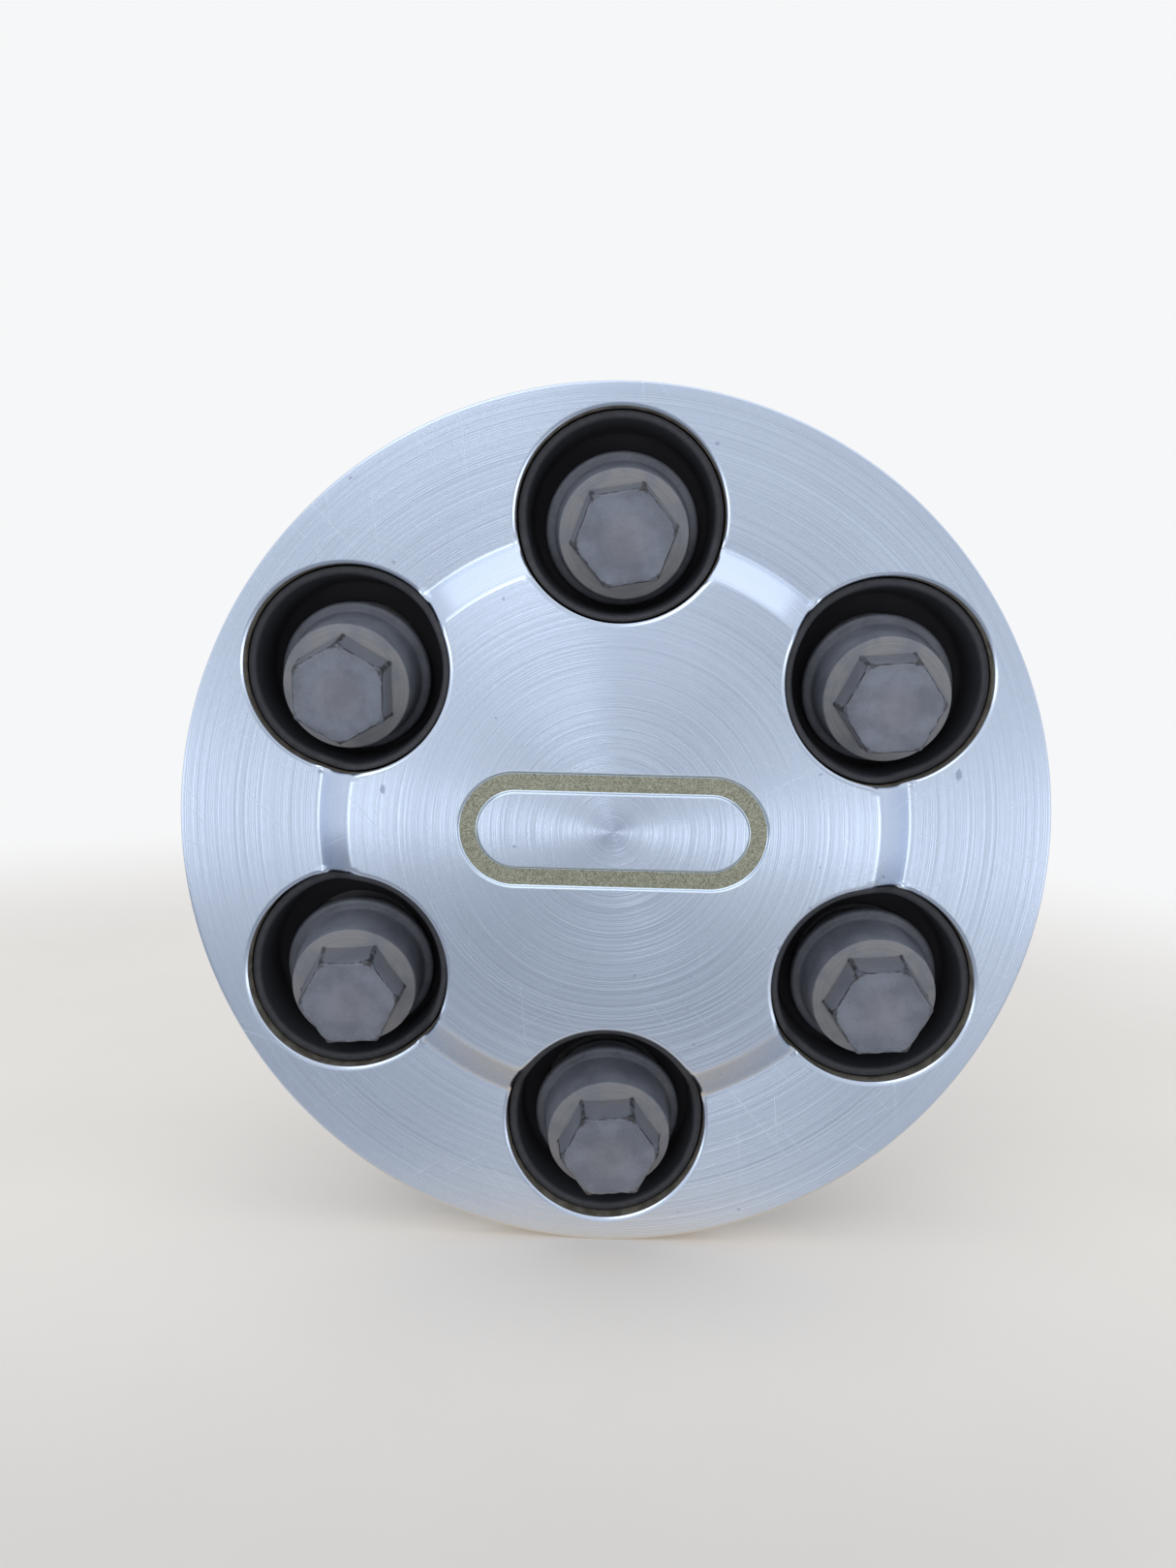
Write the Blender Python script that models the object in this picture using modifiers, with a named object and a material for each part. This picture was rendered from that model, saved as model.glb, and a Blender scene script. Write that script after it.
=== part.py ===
"""Wheel centre cap for a six-lug wheel: a turned aluminium face over a moulded backing,
with a captive nut cap hanging loose in a cup at every lug position.

The model is drawn face up: X to the right, Y up across the face and Z out of the face, with Z = 0
on the lug seats. One empty then stands it upright, so that the face looks along -Y and +Z is up.
"""

from math import cos, pi, radians, sin, tan

import bmesh
import bpy
from mathutils import Matrix, Vector

MM = 0.001

# Fits
CLEARANCE = 0.3 * MM
WELD = 0.00001

# Lug pattern
LUG_COUNT = 6
LUG_CIRCLE = 139.7 * MM
FIRST_LUG_ANGLE = 90.0

# Face plate
FACE_THICKNESS = 4.0 * MM
HUB_DIAMETER = 119.6 * MM
HUB_RISE = 6.0 * MM
HUB_CROWN = 0.5 * MM
HUB_EDGE_ROUND = 1.6 * MM
STEP_RUN = 8.0 * MM
STEP_FILLET = 2.0 * MM
DISH_RISE = 4.5 * MM
RIM_LAND = 5.15 * MM
RIM_WALL = 2.2 * MM
RIM_DEPTH = 8.0 * MM
RIM_ROUND = 0.9 * MM

# Painted recess in the middle of the face
RECESS_LENGTH = 70.0 * MM
RECESS_HEIGHT = 26.0 * MM
RECESS_BAND = 4.4 * MM
RECESS_DEPTH = 0.6 * MM

# Backing plate
BACKING_THICKNESS = 2.5 * MM
BOSS_DROP = 2.1 * MM
HUB_RING_BORE = 72.0 * MM
RIB_THICKNESS = 2.2 * MM
RIB_SETBACK = 1.0 * MM

# Lug cups
CUP_FLOOR = 2.5 * MM
CUP_STEM = 2.2 * MM
CUP_WALL = 1.8 * MM
CUP_LIP_WALL = 1.3 * MM
CUP_LIP_DEPTH = 3.0 * MM
CUP_DRAFT = 4.5
CUP_FIT = 0.4 * MM
COLLAR_THICKNESS = 2.0 * MM
POCKET_PLAY = 0.8 * MM

# Nut caps
FLANGE_DIAMETER = 34.8 * MM
FLANGE_THICKNESS = 2.4 * MM
FLANGE_LEDGE = 2.2 * MM
BARREL_LENGTH = 10.5 * MM
BARREL_TAPER = 0.9 * MM
SHOULDER_RISE = 1.6 * MM
HEX_ACROSS_FLATS = 21.0 * MM
HEX_DRAFT = 1.0 * MM
HEX_LENGTH = 8.5 * MM
SKIRT_STEP = 3.8 * MM
SKIRT_LIP = 2.0 * MM
SKIRT_WALL = 1.6 * MM
CAP_END_WALL = 2.4 * MM

# Retaining rings
RING_THICKNESS = 1.6 * MM
RING_SEAT_DEPTH = 1.0 * MM
RING_OVERLAP = 2.2 * MM
RING_SLOT = 6.0 * MM

# How the loose caps hang: the most that an axis tilts and drops, then each cap's share of both, the
# side that it hangs to, measured from straight down, and the turn of its hexagon from corner up
CAP_DROOP = 9.5
CAP_SAG = 1.1 * MM
CAP_SHARES = (1.0, 1.0, 0.75, 0.95, 1.0, 1.0)
CAP_SIDES = (11.0, 0.0, 16.0, 14.0, 18.0, -5.0)
CAP_TURNS = (40.0, 35.0, 34.0, 34.0, 33.0, 0.0)

# Facets
FACE_STEPS = 60
CUP_STEPS = 28
CAP_STEPS = 24
FILLET_STEPS = 2
RECESS_ARC_STEPS = 8

# Sizes that follow from the nut cap and the way it hangs
droop = radians(CAP_DROOP)
flange_radius = FLANGE_DIAMETER / 2
skirt_radius = flange_radius - SKIRT_STEP
ring_seat_radius = skirt_radius - RING_SEAT_DEPTH
socket_radius = ring_seat_radius - SKIRT_WALL
pivot_height = CUP_FLOOR / 2
floor_hole_radius = skirt_radius / cos(droop) + pivot_height * tan(droop) + CLEARANCE + CAP_SAG
ring_radius = floor_hole_radius + RING_OVERLAP
flange_back = (pivot_height + CLEARANCE + flange_radius * sin(droop)) / cos(droop)
ring_front = -(pivot_height + CLEARANCE + ring_radius * sin(droop)) / cos(droop)
flange_front = flange_back + FLANGE_THICKNESS
barrel_front = flange_front + BARREL_LENGTH
hex_front = barrel_front + HEX_LENGTH
skirt_end = ring_front - RING_THICKNESS - CLEARANCE - SKIRT_LIP

# Heights that stack up from the lug seats to the rim
collar_back = CUP_FLOOR + CUP_STEM
boss_back = collar_back + COLLAR_THICKNESS + CLEARANCE
valley_height = boss_back + BOSS_DROP + BACKING_THICKNESS + CLEARANCE + FACE_THICKNESS
rim_height = valley_height + DISH_RISE
hub_height = valley_height + HUB_RISE
rim_back = rim_height - RIM_DEPTH
sky = hub_height + FACE_THICKNESS

# Radii that grow out from the flange to the rim
lug_radius = LUG_CIRCLE / 2
flange_reach = CAP_SAG + flange_front * sin(droop) + flange_radius * cos(droop)
pocket_radius = flange_reach + POCKET_PLAY
mouth_radius = pocket_radius + (hub_height - CUP_FLOOR) * tan(radians(CUP_DRAFT))
sleeve_radius = mouth_radius + CUP_LIP_WALL
lug_hole_radius = sleeve_radius + CUP_FIT
face_radius = lug_radius + lug_hole_radius + RIM_LAND
rim_bore = face_radius - RIM_WALL
backing_radius = rim_bore - CLEARANCE
boss_radius = backing_radius - CLEARANCE - lug_radius
hub_radius = HUB_DIAMETER / 2
valley_radius = hub_radius + STEP_RUN
hub_ring_radius = HUB_RING_BORE / 2


def lug_angles():
    """Angle of each lug position, clockwise from the top as seen from the front."""
    return [radians(FIRST_LUG_ANGLE - 360.0 / LUG_COUNT * index) for index in range(LUG_COUNT)]


def dish_height(radius):
    """Height of the dished outer ring's front at a radius."""
    return valley_height + DISH_RISE * (radius - valley_radius) / (face_radius - valley_radius)


def filleted(corners):
    """Replace each (radius, height, fillet) corner by an arc that touches both of its sides."""
    points = []
    for index, (x, z, fillet) in enumerate(corners):
        corner = Vector((x, z))
        if fillet == 0.0:
            points.append(corner)
            continue
        before = Vector(corners[index - 1][:2]) - corner
        after = Vector(corners[(index + 1) % len(corners)][:2]) - corner
        bend = before.angle(after)
        reach = min(fillet / tan(bend / 2), before.length / 2, after.length / 2)
        middle = (before.normalized() + after.normalized()).normalized()
        centre = corner + middle * (reach / cos(bend / 2))
        first = corner + before.normalized() * reach - centre
        last = corner + after.normalized() * reach - centre
        sweep = first.angle_signed(last)
        for step in range(FILLET_STEPS + 1):
            spoke = first.copy()
            spoke.rotate(Matrix.Rotation(-sweep * step / FILLET_STEPS, 2))
            points.append(centre + spoke)
    return points


def face_contour(depth, outer_radius):
    """Corners of the face's front from its centre outwards, lowered by a depth."""
    return [
        (0.0, hub_height + HUB_CROWN - depth, 0.0),
        (hub_radius, hub_height - depth, HUB_EDGE_ROUND),
        (valley_radius, valley_height - depth, STEP_FILLET),
        (outer_radius, dish_height(outer_radius) - depth, 0.0),
    ]


def new_object(name, mesh):
    """Object in the scene's own collection; helpers and empties live there."""
    shape = bpy.data.objects.new(name, mesh)
    bpy.context.scene.collection.objects.link(shape)
    return shape


def mesh_from(name, build):
    """Mesh filled by a function that is handed an empty bmesh."""
    mesh = bpy.data.meshes.new(name)
    shape = bmesh.new()
    build(shape)
    shape.to_mesh(mesh)
    shape.free()
    return mesh


def turned(name, outline, steps, closed=False):
    """Solid of revolution about Z; the outline runs down its outer side, from top to bottom."""
    def draw(shape):
        points = [shape.verts.new((radius, 0.0, height)) for radius, height in outline]
        ends = points[1:] + points[:1] if closed else points[1:]
        for start, end in zip(points, ends):
            shape.edges.new((start, end))

    solid = new_object(name, mesh_from(name, draw))
    screw = solid.modifiers.new("turn", "SCREW")
    screw.axis = "Z"
    screw.angle = 2 * pi
    screw.steps = steps
    screw.render_steps = steps
    screw.use_merge_vertices = True
    screw.merge_threshold = WELD
    return solid


def combine(shape, operation, other):
    """Cut the other solid from a shape, or join it on."""
    boolean = shape.modifiers.new(other.name, "BOOLEAN")
    boolean.operation = operation
    boolean.solver = "EXACT"
    boolean.object = other


def settled(shape, *helpers):
    """Mesh of a shape with its modifiers applied; the shape and its helpers are removed."""
    graph = bpy.context.evaluated_depsgraph_get()
    mesh = bpy.data.meshes.new_from_object(shape.evaluated_get(graph))
    for used in (shape, *helpers):
        bpy.data.objects.remove(used)
    mesh.shade_smooth()
    mesh.set_sharp_from_angle(angle=radians(30.0))
    return mesh


def space_in_front(depth):
    """Everything in front of a surface that lies a depth behind the face's front."""
    outer_radius = face_radius + RIM_LAND
    below = filleted(face_contour(depth, outer_radius))
    return turned("space_in_front", [(0.0, 2 * sky), (outer_radius, 2 * sky), *reversed(below)], FACE_STEPS)


def lug_cylinders(name, radius, low, high, steps):
    """One upright cylinder at every lug position."""
    def draw(shape):
        for angle in lug_angles():
            place = Matrix.Rotation(angle, 4, "Z") @ Matrix.Translation((lug_radius, 0.0, (low + high) / 2))
            bmesh.ops.create_cone(
                shape, cap_ends=True, segments=steps, radius1=radius, radius2=radius,
                depth=high - low, matrix=place,
            )

    return new_object(name, mesh_from(name, draw))


def lug_holes():
    """Cutter for the holes that the cups pass through."""
    return lug_cylinders("lug_holes", lug_hole_radius, -sky, 2 * sky, 2 * CUP_STEPS)


def obround(length, height):
    """Points of a long hole's outline: two half circles joined by straight sides."""
    radius = height / 2
    offset = length / 2 - radius
    points = []
    for side, start in ((1.0, -pi / 2), (-1.0, pi / 2)):
        for step in range(RECESS_ARC_STEPS + 1):
            angle = start + pi * step / RECESS_ARC_STEPS
            points.append((side * offset + radius * cos(angle), radius * sin(angle)))
    return points


def recess_cutter():
    """Obround band whose underside is the floor of the painted recess."""
    floor = hub_height + HUB_CROWN - RECESS_DEPTH
    curve = bpy.data.curves.new("recess", "CURVE")
    curve.dimensions = "2D"
    curve.fill_mode = "BOTH"
    curve.extrude = FACE_THICKNESS / 2
    inside = 2 * RECESS_BAND
    for outline in (
        obround(RECESS_LENGTH, RECESS_HEIGHT),
        obround(RECESS_LENGTH - inside, RECESS_HEIGHT - inside),
    ):
        spline = curve.splines.new("POLY")
        spline.points.add(len(outline) - 1)
        spline.use_cyclic_u = True
        for point, (x, y) in zip(spline.points, outline):
            point.co = (x, y, 0.0, 1.0)
    mesh = settled(new_object("recess", curve))
    shape = bmesh.new()
    shape.from_mesh(mesh)
    bmesh.ops.remove_doubles(shape, verts=shape.verts, dist=WELD)
    bmesh.ops.recalc_face_normals(shape, faces=shape.faces)
    bmesh.ops.translate(shape, verts=shape.verts, vec=(0.0, 0.0, floor + FACE_THICKNESS / 2))
    shape.to_mesh(mesh)
    shape.free()
    return new_object("recess", mesh)


def face_plate_mesh():
    """Dished plate with a raised hub, a rim turned back, lug holes and the painted recess."""
    front = face_contour(0.0, face_radius)[:-1]
    rim = [
        (face_radius, rim_height, RIM_ROUND),
        (face_radius, rim_back, 0.0),
        (rim_bore, rim_back, 0.0),
    ]
    back = reversed(face_contour(FACE_THICKNESS, rim_bore))
    plate = turned("face_plate", filleted([*front, *rim, *back]), FACE_STEPS)
    holes = lug_holes()
    recess = recess_cutter()
    combine(plate, "DIFFERENCE", holes)
    combine(plate, "DIFFERENCE", recess)
    return settled(plate, holes, recess)


def stiffener_boxes(shape):
    """Upright slabs that become the radial ribs, each midway between two lug positions."""
    inner = hub_ring_radius + RIB_THICKNESS / 2
    outer = backing_radius - RIB_THICKNESS
    low = boss_back + RIB_SETBACK
    size = (outer - inner, RIB_THICKNESS, sky - low)
    middle = ((outer + inner) / 2, 0.0, (sky + low) / 2)
    for angle in lug_angles():
        turn = Matrix.Rotation(angle + pi / LUG_COUNT, 4, "Z")
        bmesh.ops.create_cube(
            shape, size=1.0, matrix=turn @ Matrix.Translation(middle) @ Matrix.Diagonal((*size, 1.0)),
        )


def backing_plate_mesh():
    """Moulded shell behind the face, with a boss round each lug hole, a hub ring and ribs."""
    front_depth = FACE_THICKNESS + CLEARANCE
    back_depth = front_depth + BACKING_THICKNESS
    front = face_contour(front_depth, backing_radius)
    back = face_contour(back_depth, backing_radius)
    under_hub = back[0][1]
    hub_ring = [
        (hub_ring_radius + RIB_THICKNESS, under_hub, 0.0),
        (hub_ring_radius + RIB_THICKNESS, boss_back, 0.0),
        (hub_ring_radius, boss_back, 0.0),
        (hub_ring_radius, under_hub, 0.0),
    ]
    outline = filleted([*front, *reversed(back[1:]), *hub_ring, back[0]])
    shell = turned("backing_plate", outline, FACE_STEPS)
    ribs = new_object("ribs", mesh_from("ribs", stiffener_boxes))
    bosses = lug_cylinders("bosses", boss_radius, boss_back, sky, CUP_STEPS)
    space = space_in_front(front_depth + BACKING_THICKNESS / 2)
    holes = lug_holes()
    for stiffener in (ribs, bosses):
        combine(stiffener, "DIFFERENCE", space)
        combine(shell, "UNION", stiffener)
    combine(shell, "DIFFERENCE", holes)
    return settled(shell, ribs, bosses, space, holes)


def lug_cup_mesh():
    """Cup at angle zero: a sleeve through the lug hole, a collar behind the boss and a holed floor."""
    stem_radius = pocket_radius + CUP_WALL
    collar_front = collar_back + COLLAR_THICKNESS
    outline = [
        (sleeve_radius, sky),
        (sleeve_radius, collar_front),
        (boss_radius, collar_front),
        (boss_radius, collar_back),
        (stem_radius, collar_back),
        (stem_radius, 0.0),
        (floor_hole_radius, 0.0),
        (floor_hole_radius, CUP_FLOOR),
        (pocket_radius, CUP_FLOOR),
        (pocket_radius + (sky - CUP_FLOOR) * tan(radians(CUP_DRAFT)), sky),
    ]
    cup = turned("lug_cup", outline, CUP_STEPS, closed=True)
    cup.location.x = lug_radius
    space = space_in_front(CUP_LIP_DEPTH)
    combine(cup, "DIFFERENCE", space)
    bpy.context.view_layer.update()
    mesh = settled(cup, space)
    mesh.transform(Matrix.Translation((lug_radius, 0.0, 0.0)))
    return mesh


def nut_cap_mesh():
    """Cap about its own axis, with Z = 0 where it passes through the middle of the cup's floor."""
    barrel_radius = flange_radius - FLANGE_LEDGE
    barrel_tip = barrel_radius - BARREL_TAPER
    hex_inradius = HEX_ACROSS_FLATS / 2
    seat_front = ring_front + CLEARANCE
    seat_back = ring_front - RING_THICKNESS - CLEARANCE
    outline = [
        (0.0, barrel_front + SHOULDER_RISE),
        (hex_inradius - HEX_DRAFT, barrel_front + SHOULDER_RISE),
        (barrel_tip, barrel_front),
        (barrel_radius, flange_front),
        (flange_radius, flange_front),
        (flange_radius, flange_back),
        (skirt_radius, flange_back),
        (skirt_radius, seat_front),
        (ring_seat_radius, seat_front),
        (ring_seat_radius, seat_back),
        (skirt_radius, seat_back),
        (skirt_radius, skirt_end),
        (0.0, skirt_end),
    ]
    cap = turned("nut_cap", outline, CAP_STEPS)

    def draw_hex(shape):
        across_corners = 1.0 / cos(pi / 6)
        length = HEX_LENGTH + SHOULDER_RISE
        bmesh.ops.create_cone(
            shape, cap_ends=True, segments=6, depth=length,
            radius1=hex_inradius * across_corners,
            radius2=(hex_inradius - HEX_DRAFT / 2) * across_corners,
            matrix=Matrix.Translation((0.0, 0.0, hex_front - length / 2)),
        )

    hexagon = new_object("hexagon", mesh_from("hexagon", draw_hex))
    nose_radius = hex_inradius - HEX_DRAFT / 2 - CAP_END_WALL
    socket = turned(
        "socket",
        [
            (0.0, hex_front - CAP_END_WALL),
            (nose_radius, hex_front - CAP_END_WALL),
            (nose_radius, barrel_front - CAP_END_WALL),
            (socket_radius, barrel_front - 2 * CAP_END_WALL),
            (socket_radius, skirt_end - SKIRT_LIP),
            (0.0, skirt_end - SKIRT_LIP),
        ],
        CAP_STEPS,
    )
    combine(cap, "UNION", hexagon)
    combine(cap, "DIFFERENCE", socket)
    return settled(cap, hexagon, socket)


def retaining_ring_mesh():
    """Split ring in the seat round the cap's skirt, behind the cup's floor."""
    bore = ring_seat_radius + CLEARANCE
    ring_back = ring_front - RING_THICKNESS
    outline = [(ring_radius, ring_front), (ring_radius, ring_back), (bore, ring_back), (bore, ring_front)]
    ring = turned("retaining_ring", outline, CAP_STEPS, closed=True)

    def draw_slot(shape):
        size = (RING_SLOT, 2 * ring_radius, 2 * RING_THICKNESS)
        middle = (0.0, -ring_radius, (ring_front + ring_back) / 2)
        bmesh.ops.create_cube(
            shape, size=1.0, matrix=Matrix.Translation(middle) @ Matrix.Diagonal((*size, 1.0)),
        )

    slot = new_object("slot", mesh_from("slot", draw_slot))
    combine(ring, "DIFFERENCE", slot)
    return settled(ring, slot)


def material(name, colour, roughness, metallic):
    finish = bpy.data.materials.new(name)
    finish.use_nodes = True
    shader = finish.node_tree.nodes["Principled BSDF"]
    shader.inputs["Base Color"].default_value = (*colour, 1.0)
    shader.inputs["Roughness"].default_value = roughness
    shader.inputs["Metallic"].default_value = metallic
    return finish


def empty(name, parent=None):
    marker = new_object(name, None)
    marker.parent = parent
    return marker


def place(name, mesh, finish, parent, collection):
    part = bpy.data.objects.new(name, mesh)
    if not mesh.materials:
        mesh.materials.append(finish)
    part.parent = parent
    collection.objects.link(part)
    return part


def main():
    for leftover in list(bpy.data.objects):
        bpy.data.objects.remove(leftover)
    collection = bpy.data.collections.new("wheel_centre_cap")
    bpy.context.scene.collection.children.link(collection)

    aluminium = material("turned_aluminium", (0.74, 0.76, 0.80), 0.32, 1.0)
    black_plastic = material("black_plastic", (0.018, 0.018, 0.020), 0.45, 0.0)
    cup_plastic = material("cup_plastic", (0.014, 0.014, 0.016), 0.40, 0.0)
    cap_plastic = material("charcoal_plastic", (0.075, 0.078, 0.085), 0.50, 0.0)
    spring_steel = material("spring_steel", (0.45, 0.45, 0.46), 0.35, 1.0)

    upright = empty("upright")
    upright.rotation_euler.x = pi / 2
    place("face_plate", face_plate_mesh(), aluminium, upright, collection)
    place("backing_plate", backing_plate_mesh(), black_plastic, upright, collection)

    cup = lug_cup_mesh()
    cap = nut_cap_mesh()
    ring = retaining_ring_mesh()
    for number, angle in enumerate(lug_angles(), start=1):
        hang = (number - 1) % len(CAP_TURNS)
        share = CAP_SHARES[hang]
        side = radians(CAP_SIDES[hang])
        turn = radians(CAP_TURNS[hang]) - side
        drop = CAP_SAG * share
        place(f"lug_cup_{number}", cup, cup_plastic, upright, collection).rotation_euler.z = angle
        pivot = empty(f"cap_pivot_{number}", upright)
        pivot.location = (
            lug_radius * cos(angle) + drop * sin(side),
            lug_radius * sin(angle) - drop * cos(side),
            pivot_height,
        )
        pivot.rotation_euler = (droop * share, 0.0, side)
        place(f"nut_cap_{number}", cap, cap_plastic, pivot, collection).rotation_euler.z = turn
        place(f"retaining_ring_{number}", ring, spring_steel, pivot, collection)


main()
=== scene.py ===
# %% [markdown]
# # The looks of a wheel centre cap
# This cap covers the hub of a six-lug wheel. A turned aluminium face carries six black cups, and in
# every cup hangs a loose plastic cap that screws over a lug nut. The solids come from the packed
# frame, and this lesson dresses them: it builds finer meshes for what shows, gives them finishes
# made of nodes, and puts them under soft light.

# %% Load the frame
from math import atan, cos, pi, radians, sin, sqrt, tan

import bmesh
import bpy
import numpy as np
from mathutils import Matrix, Vector, noise
from mathutils.geometry import delaunay_2d_cdt


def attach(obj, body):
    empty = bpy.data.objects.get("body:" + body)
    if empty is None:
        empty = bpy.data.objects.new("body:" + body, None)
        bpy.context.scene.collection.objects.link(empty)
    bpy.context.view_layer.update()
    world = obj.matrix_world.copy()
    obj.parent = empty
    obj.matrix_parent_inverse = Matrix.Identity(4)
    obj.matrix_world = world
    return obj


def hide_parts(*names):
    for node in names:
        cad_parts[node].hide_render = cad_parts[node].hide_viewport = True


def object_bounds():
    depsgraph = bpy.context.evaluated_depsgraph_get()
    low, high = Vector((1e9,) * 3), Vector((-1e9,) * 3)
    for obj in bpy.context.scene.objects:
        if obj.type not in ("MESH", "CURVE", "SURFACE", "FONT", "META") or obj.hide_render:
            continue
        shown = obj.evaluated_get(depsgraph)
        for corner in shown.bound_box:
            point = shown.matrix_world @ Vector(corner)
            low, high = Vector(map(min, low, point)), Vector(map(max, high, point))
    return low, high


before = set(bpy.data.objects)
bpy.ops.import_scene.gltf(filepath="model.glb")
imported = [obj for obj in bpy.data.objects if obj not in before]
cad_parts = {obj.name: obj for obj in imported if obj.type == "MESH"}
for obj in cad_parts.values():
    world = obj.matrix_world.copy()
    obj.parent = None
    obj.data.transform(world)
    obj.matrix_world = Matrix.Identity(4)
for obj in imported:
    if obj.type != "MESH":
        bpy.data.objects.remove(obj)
cad_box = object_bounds()

# %% [markdown]
# ## Sizes
# The solids were drawn face up, with x to the right, y up across the face and h out of the face.
# The same frame is used here, in millimetres, so that a formula can be written the way a turner
# would measure it. One function stands the finished points upright and turns them into metres.

# %% Sizes of the solids, in millimetres
MM = 0.001
LUG_COUNT = 6
LUG_RADIUS = 69.85
LUG_HOLE_RADIUS = 23.424
FACE_RADIUS = 98.424
FACE_THICKNESS = 4.0
HUB_RADIUS = 59.8
HUB_HEIGHT = 21.9
HUB_CROWN = 0.5
VALLEY_RADIUS = 67.8
VALLEY_HEIGHT = 15.9
RIM_HEIGHT = 20.4
RIM_BACK = 12.4
RIM_BORE = 96.224
LUG_ANGLES = [radians(90.0 - 60.0 * number) for number in range(LUG_COUNT)]
LUG_CENTRES = np.array([(LUG_RADIUS * cos(a), LUG_RADIUS * sin(a)) for a in LUG_ANGLES])


def upright(points):
    """Points (x, y, h) in millimetres, stood up and turned into metres."""
    points = np.asarray(points, float).reshape(-1, 3)
    return np.stack([points[:, 0], -points[:, 2], points[:, 1]], axis=1) * MM


print("lug centres:", np.round(LUG_CENTRES, 1).tolist())

# %% [markdown]
# ## Helpers for meshes
# Nearly everything here was turned or moulded round an axis, so most pieces are a loft: a stack of
# rings with the same number of points, joined by quads. Quads along the rings keep a smooth shine,
# which a boolean cut through a coarse cylinder would break up.

# %% Helpers that turn points into pieces
TURNED_SHARP = 35.0
MOULDED_SHARP = 40.0


def smooth(mesh, sharp):
    """Shade a mesh smooth, apart from edges past an angle in degrees."""
    mesh.shade_smooth()
    mesh.set_sharp_from_angle(angle=radians(sharp))


def new_piece(name, points, faces, finishes=(), sharp=TURNED_SHARP, place=upright):
    """Mesh object from points in millimetres, which the place function puts where they belong."""
    mesh = bpy.data.meshes.new(name)
    mesh.from_pydata(place(points).tolist(), [], faces)
    mesh.update()
    smooth(mesh, sharp)
    for finish in finishes:
        mesh.materials.append(finish)
    piece = bpy.data.objects.new(name, mesh)
    bpy.context.scene.collection.objects.link(piece)
    return piece


def add_attributes(piece, **attributes):
    """Give every point of a piece numbers that its finish can read."""
    for name, values in attributes.items():
        layer = piece.data.attributes.new(name, "FLOAT", "POINT")
        layer.data.foreach_set("value", np.asarray(values, np.float32))


def settled(piece):
    """Give a piece the mesh that its modifiers make, and take them off."""
    graph = bpy.context.evaluated_depsgraph_get()
    mesh = bpy.data.meshes.new_from_object(piece.evaluated_get(graph))
    piece.modifiers.clear()
    mesh.name = piece.name
    piece.data = mesh
    return piece


print("helpers for pieces ready")


# %% Helpers for rings and rounded corners
FILLET_REACH = 0.48


def ring_faces(ring_count, column_count, wrap=False):
    """Quads between neighbouring rings; wrap joins the last ring to the first."""
    faces = []
    for ring in range(ring_count if wrap else ring_count - 1):
        low = ring * column_count
        high = (ring + 1) % ring_count * column_count
        for column in range(column_count):
            after = (column + 1) % column_count
            faces.append((low + column, high + column, high + after, low + after))
    return faces


def poled_faces(ring_count, column_count):
    """Quads between rings, and fans to two poles that follow them: at the first ring and the last."""
    faces = ring_faces(ring_count, column_count)
    pole = ring_count * column_count
    last = pole - column_count
    for column in range(column_count):
        after = (column + 1) % column_count
        faces.append((pole, column, after))
        faces.append((last + column, pole + 1, last + after))
    return faces


def filleted(corners, steps=8):
    """Replace each (radius, height, fillet) corner by an arc that touches both of its sides."""
    points = []
    for index, (x, z, fillet) in enumerate(corners):
        corner = Vector((x, z))
        if fillet == 0.0:
            points.append(corner)
            continue
        before = Vector(corners[index - 1][:2]) - corner
        after = Vector(corners[(index + 1) % len(corners)][:2]) - corner
        bend = before.angle(after)
        reach = min(fillet / tan(bend / 2), FILLET_REACH * before.length, FILLET_REACH * after.length)
        middle = (before.normalized() + after.normalized()).normalized()
        centre = corner + middle * (reach / cos(bend / 2))
        first = corner + before.normalized() * reach - centre
        last = corner + after.normalized() * reach - centre
        sweep = first.angle_signed(last)
        for step in range(steps + 1):
            spoke = first.copy()
            spoke.rotate(Matrix.Rotation(-sweep * step / steps, 2))
            points.append(centre + spoke)
    return np.array([tuple(point) for point in points])


def circle(cx, cy, radius, count):
    angles = np.arange(count) * 2 * pi / count
    return np.stack([cx + radius * np.cos(angles), cy + radius * np.sin(angles)], axis=1)


def level_circle(cx, cy, radius, height, count):
    return np.column_stack([circle(cx, cy, radius, count), np.full(count, height)])


print("helpers for rings ready")

# %% [markdown]
# ## Finishes as recipes
# A finish is a tree of nodes. To keep the maths readable, a small class wraps a socket, so that
# `1 - mask * 0.5` adds the Math nodes by itself. Every other node comes from one method, which sets
# the node's own settings first and then fills or links its sockets.

# %% A socket that can be reckoned with
class Flow:
    """One output of a node tree; arithmetic on it adds Math nodes."""

    def __init__(self, recipe, socket):
        self.recipe = recipe
        self.socket = socket

    def maths(self, operation, *values):
        return self.recipe.node("ShaderNodeMath", {"operation": operation}, dict(enumerate(values)))

    def __add__(self, other):
        return self.maths("ADD", self, other)

    def __radd__(self, other):
        return self.maths("ADD", other, self)

    def __sub__(self, other):
        return self.maths("SUBTRACT", self, other)

    def __rsub__(self, other):
        return self.maths("SUBTRACT", other, self)

    def __mul__(self, other):
        return self.maths("MULTIPLY", self, other)

    def __rmul__(self, other):
        return self.maths("MULTIPLY", other, self)

    def __truediv__(self, other):
        return self.maths("DIVIDE", self, other)

    def __rtruediv__(self, other):
        return self.maths("DIVIDE", other, self)

    def step(self, low, high):
        """0 below the low value, 1 above the high one, and smooth between them."""
        return self.recipe.node(
            "ShaderNodeMapRange", {"interpolation_type": "SMOOTHSTEP"},
            {"Value": self, "From Min": low, "From Max": high},
        )


print("flows can be added, subtracted, multiplied and divided")


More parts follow.
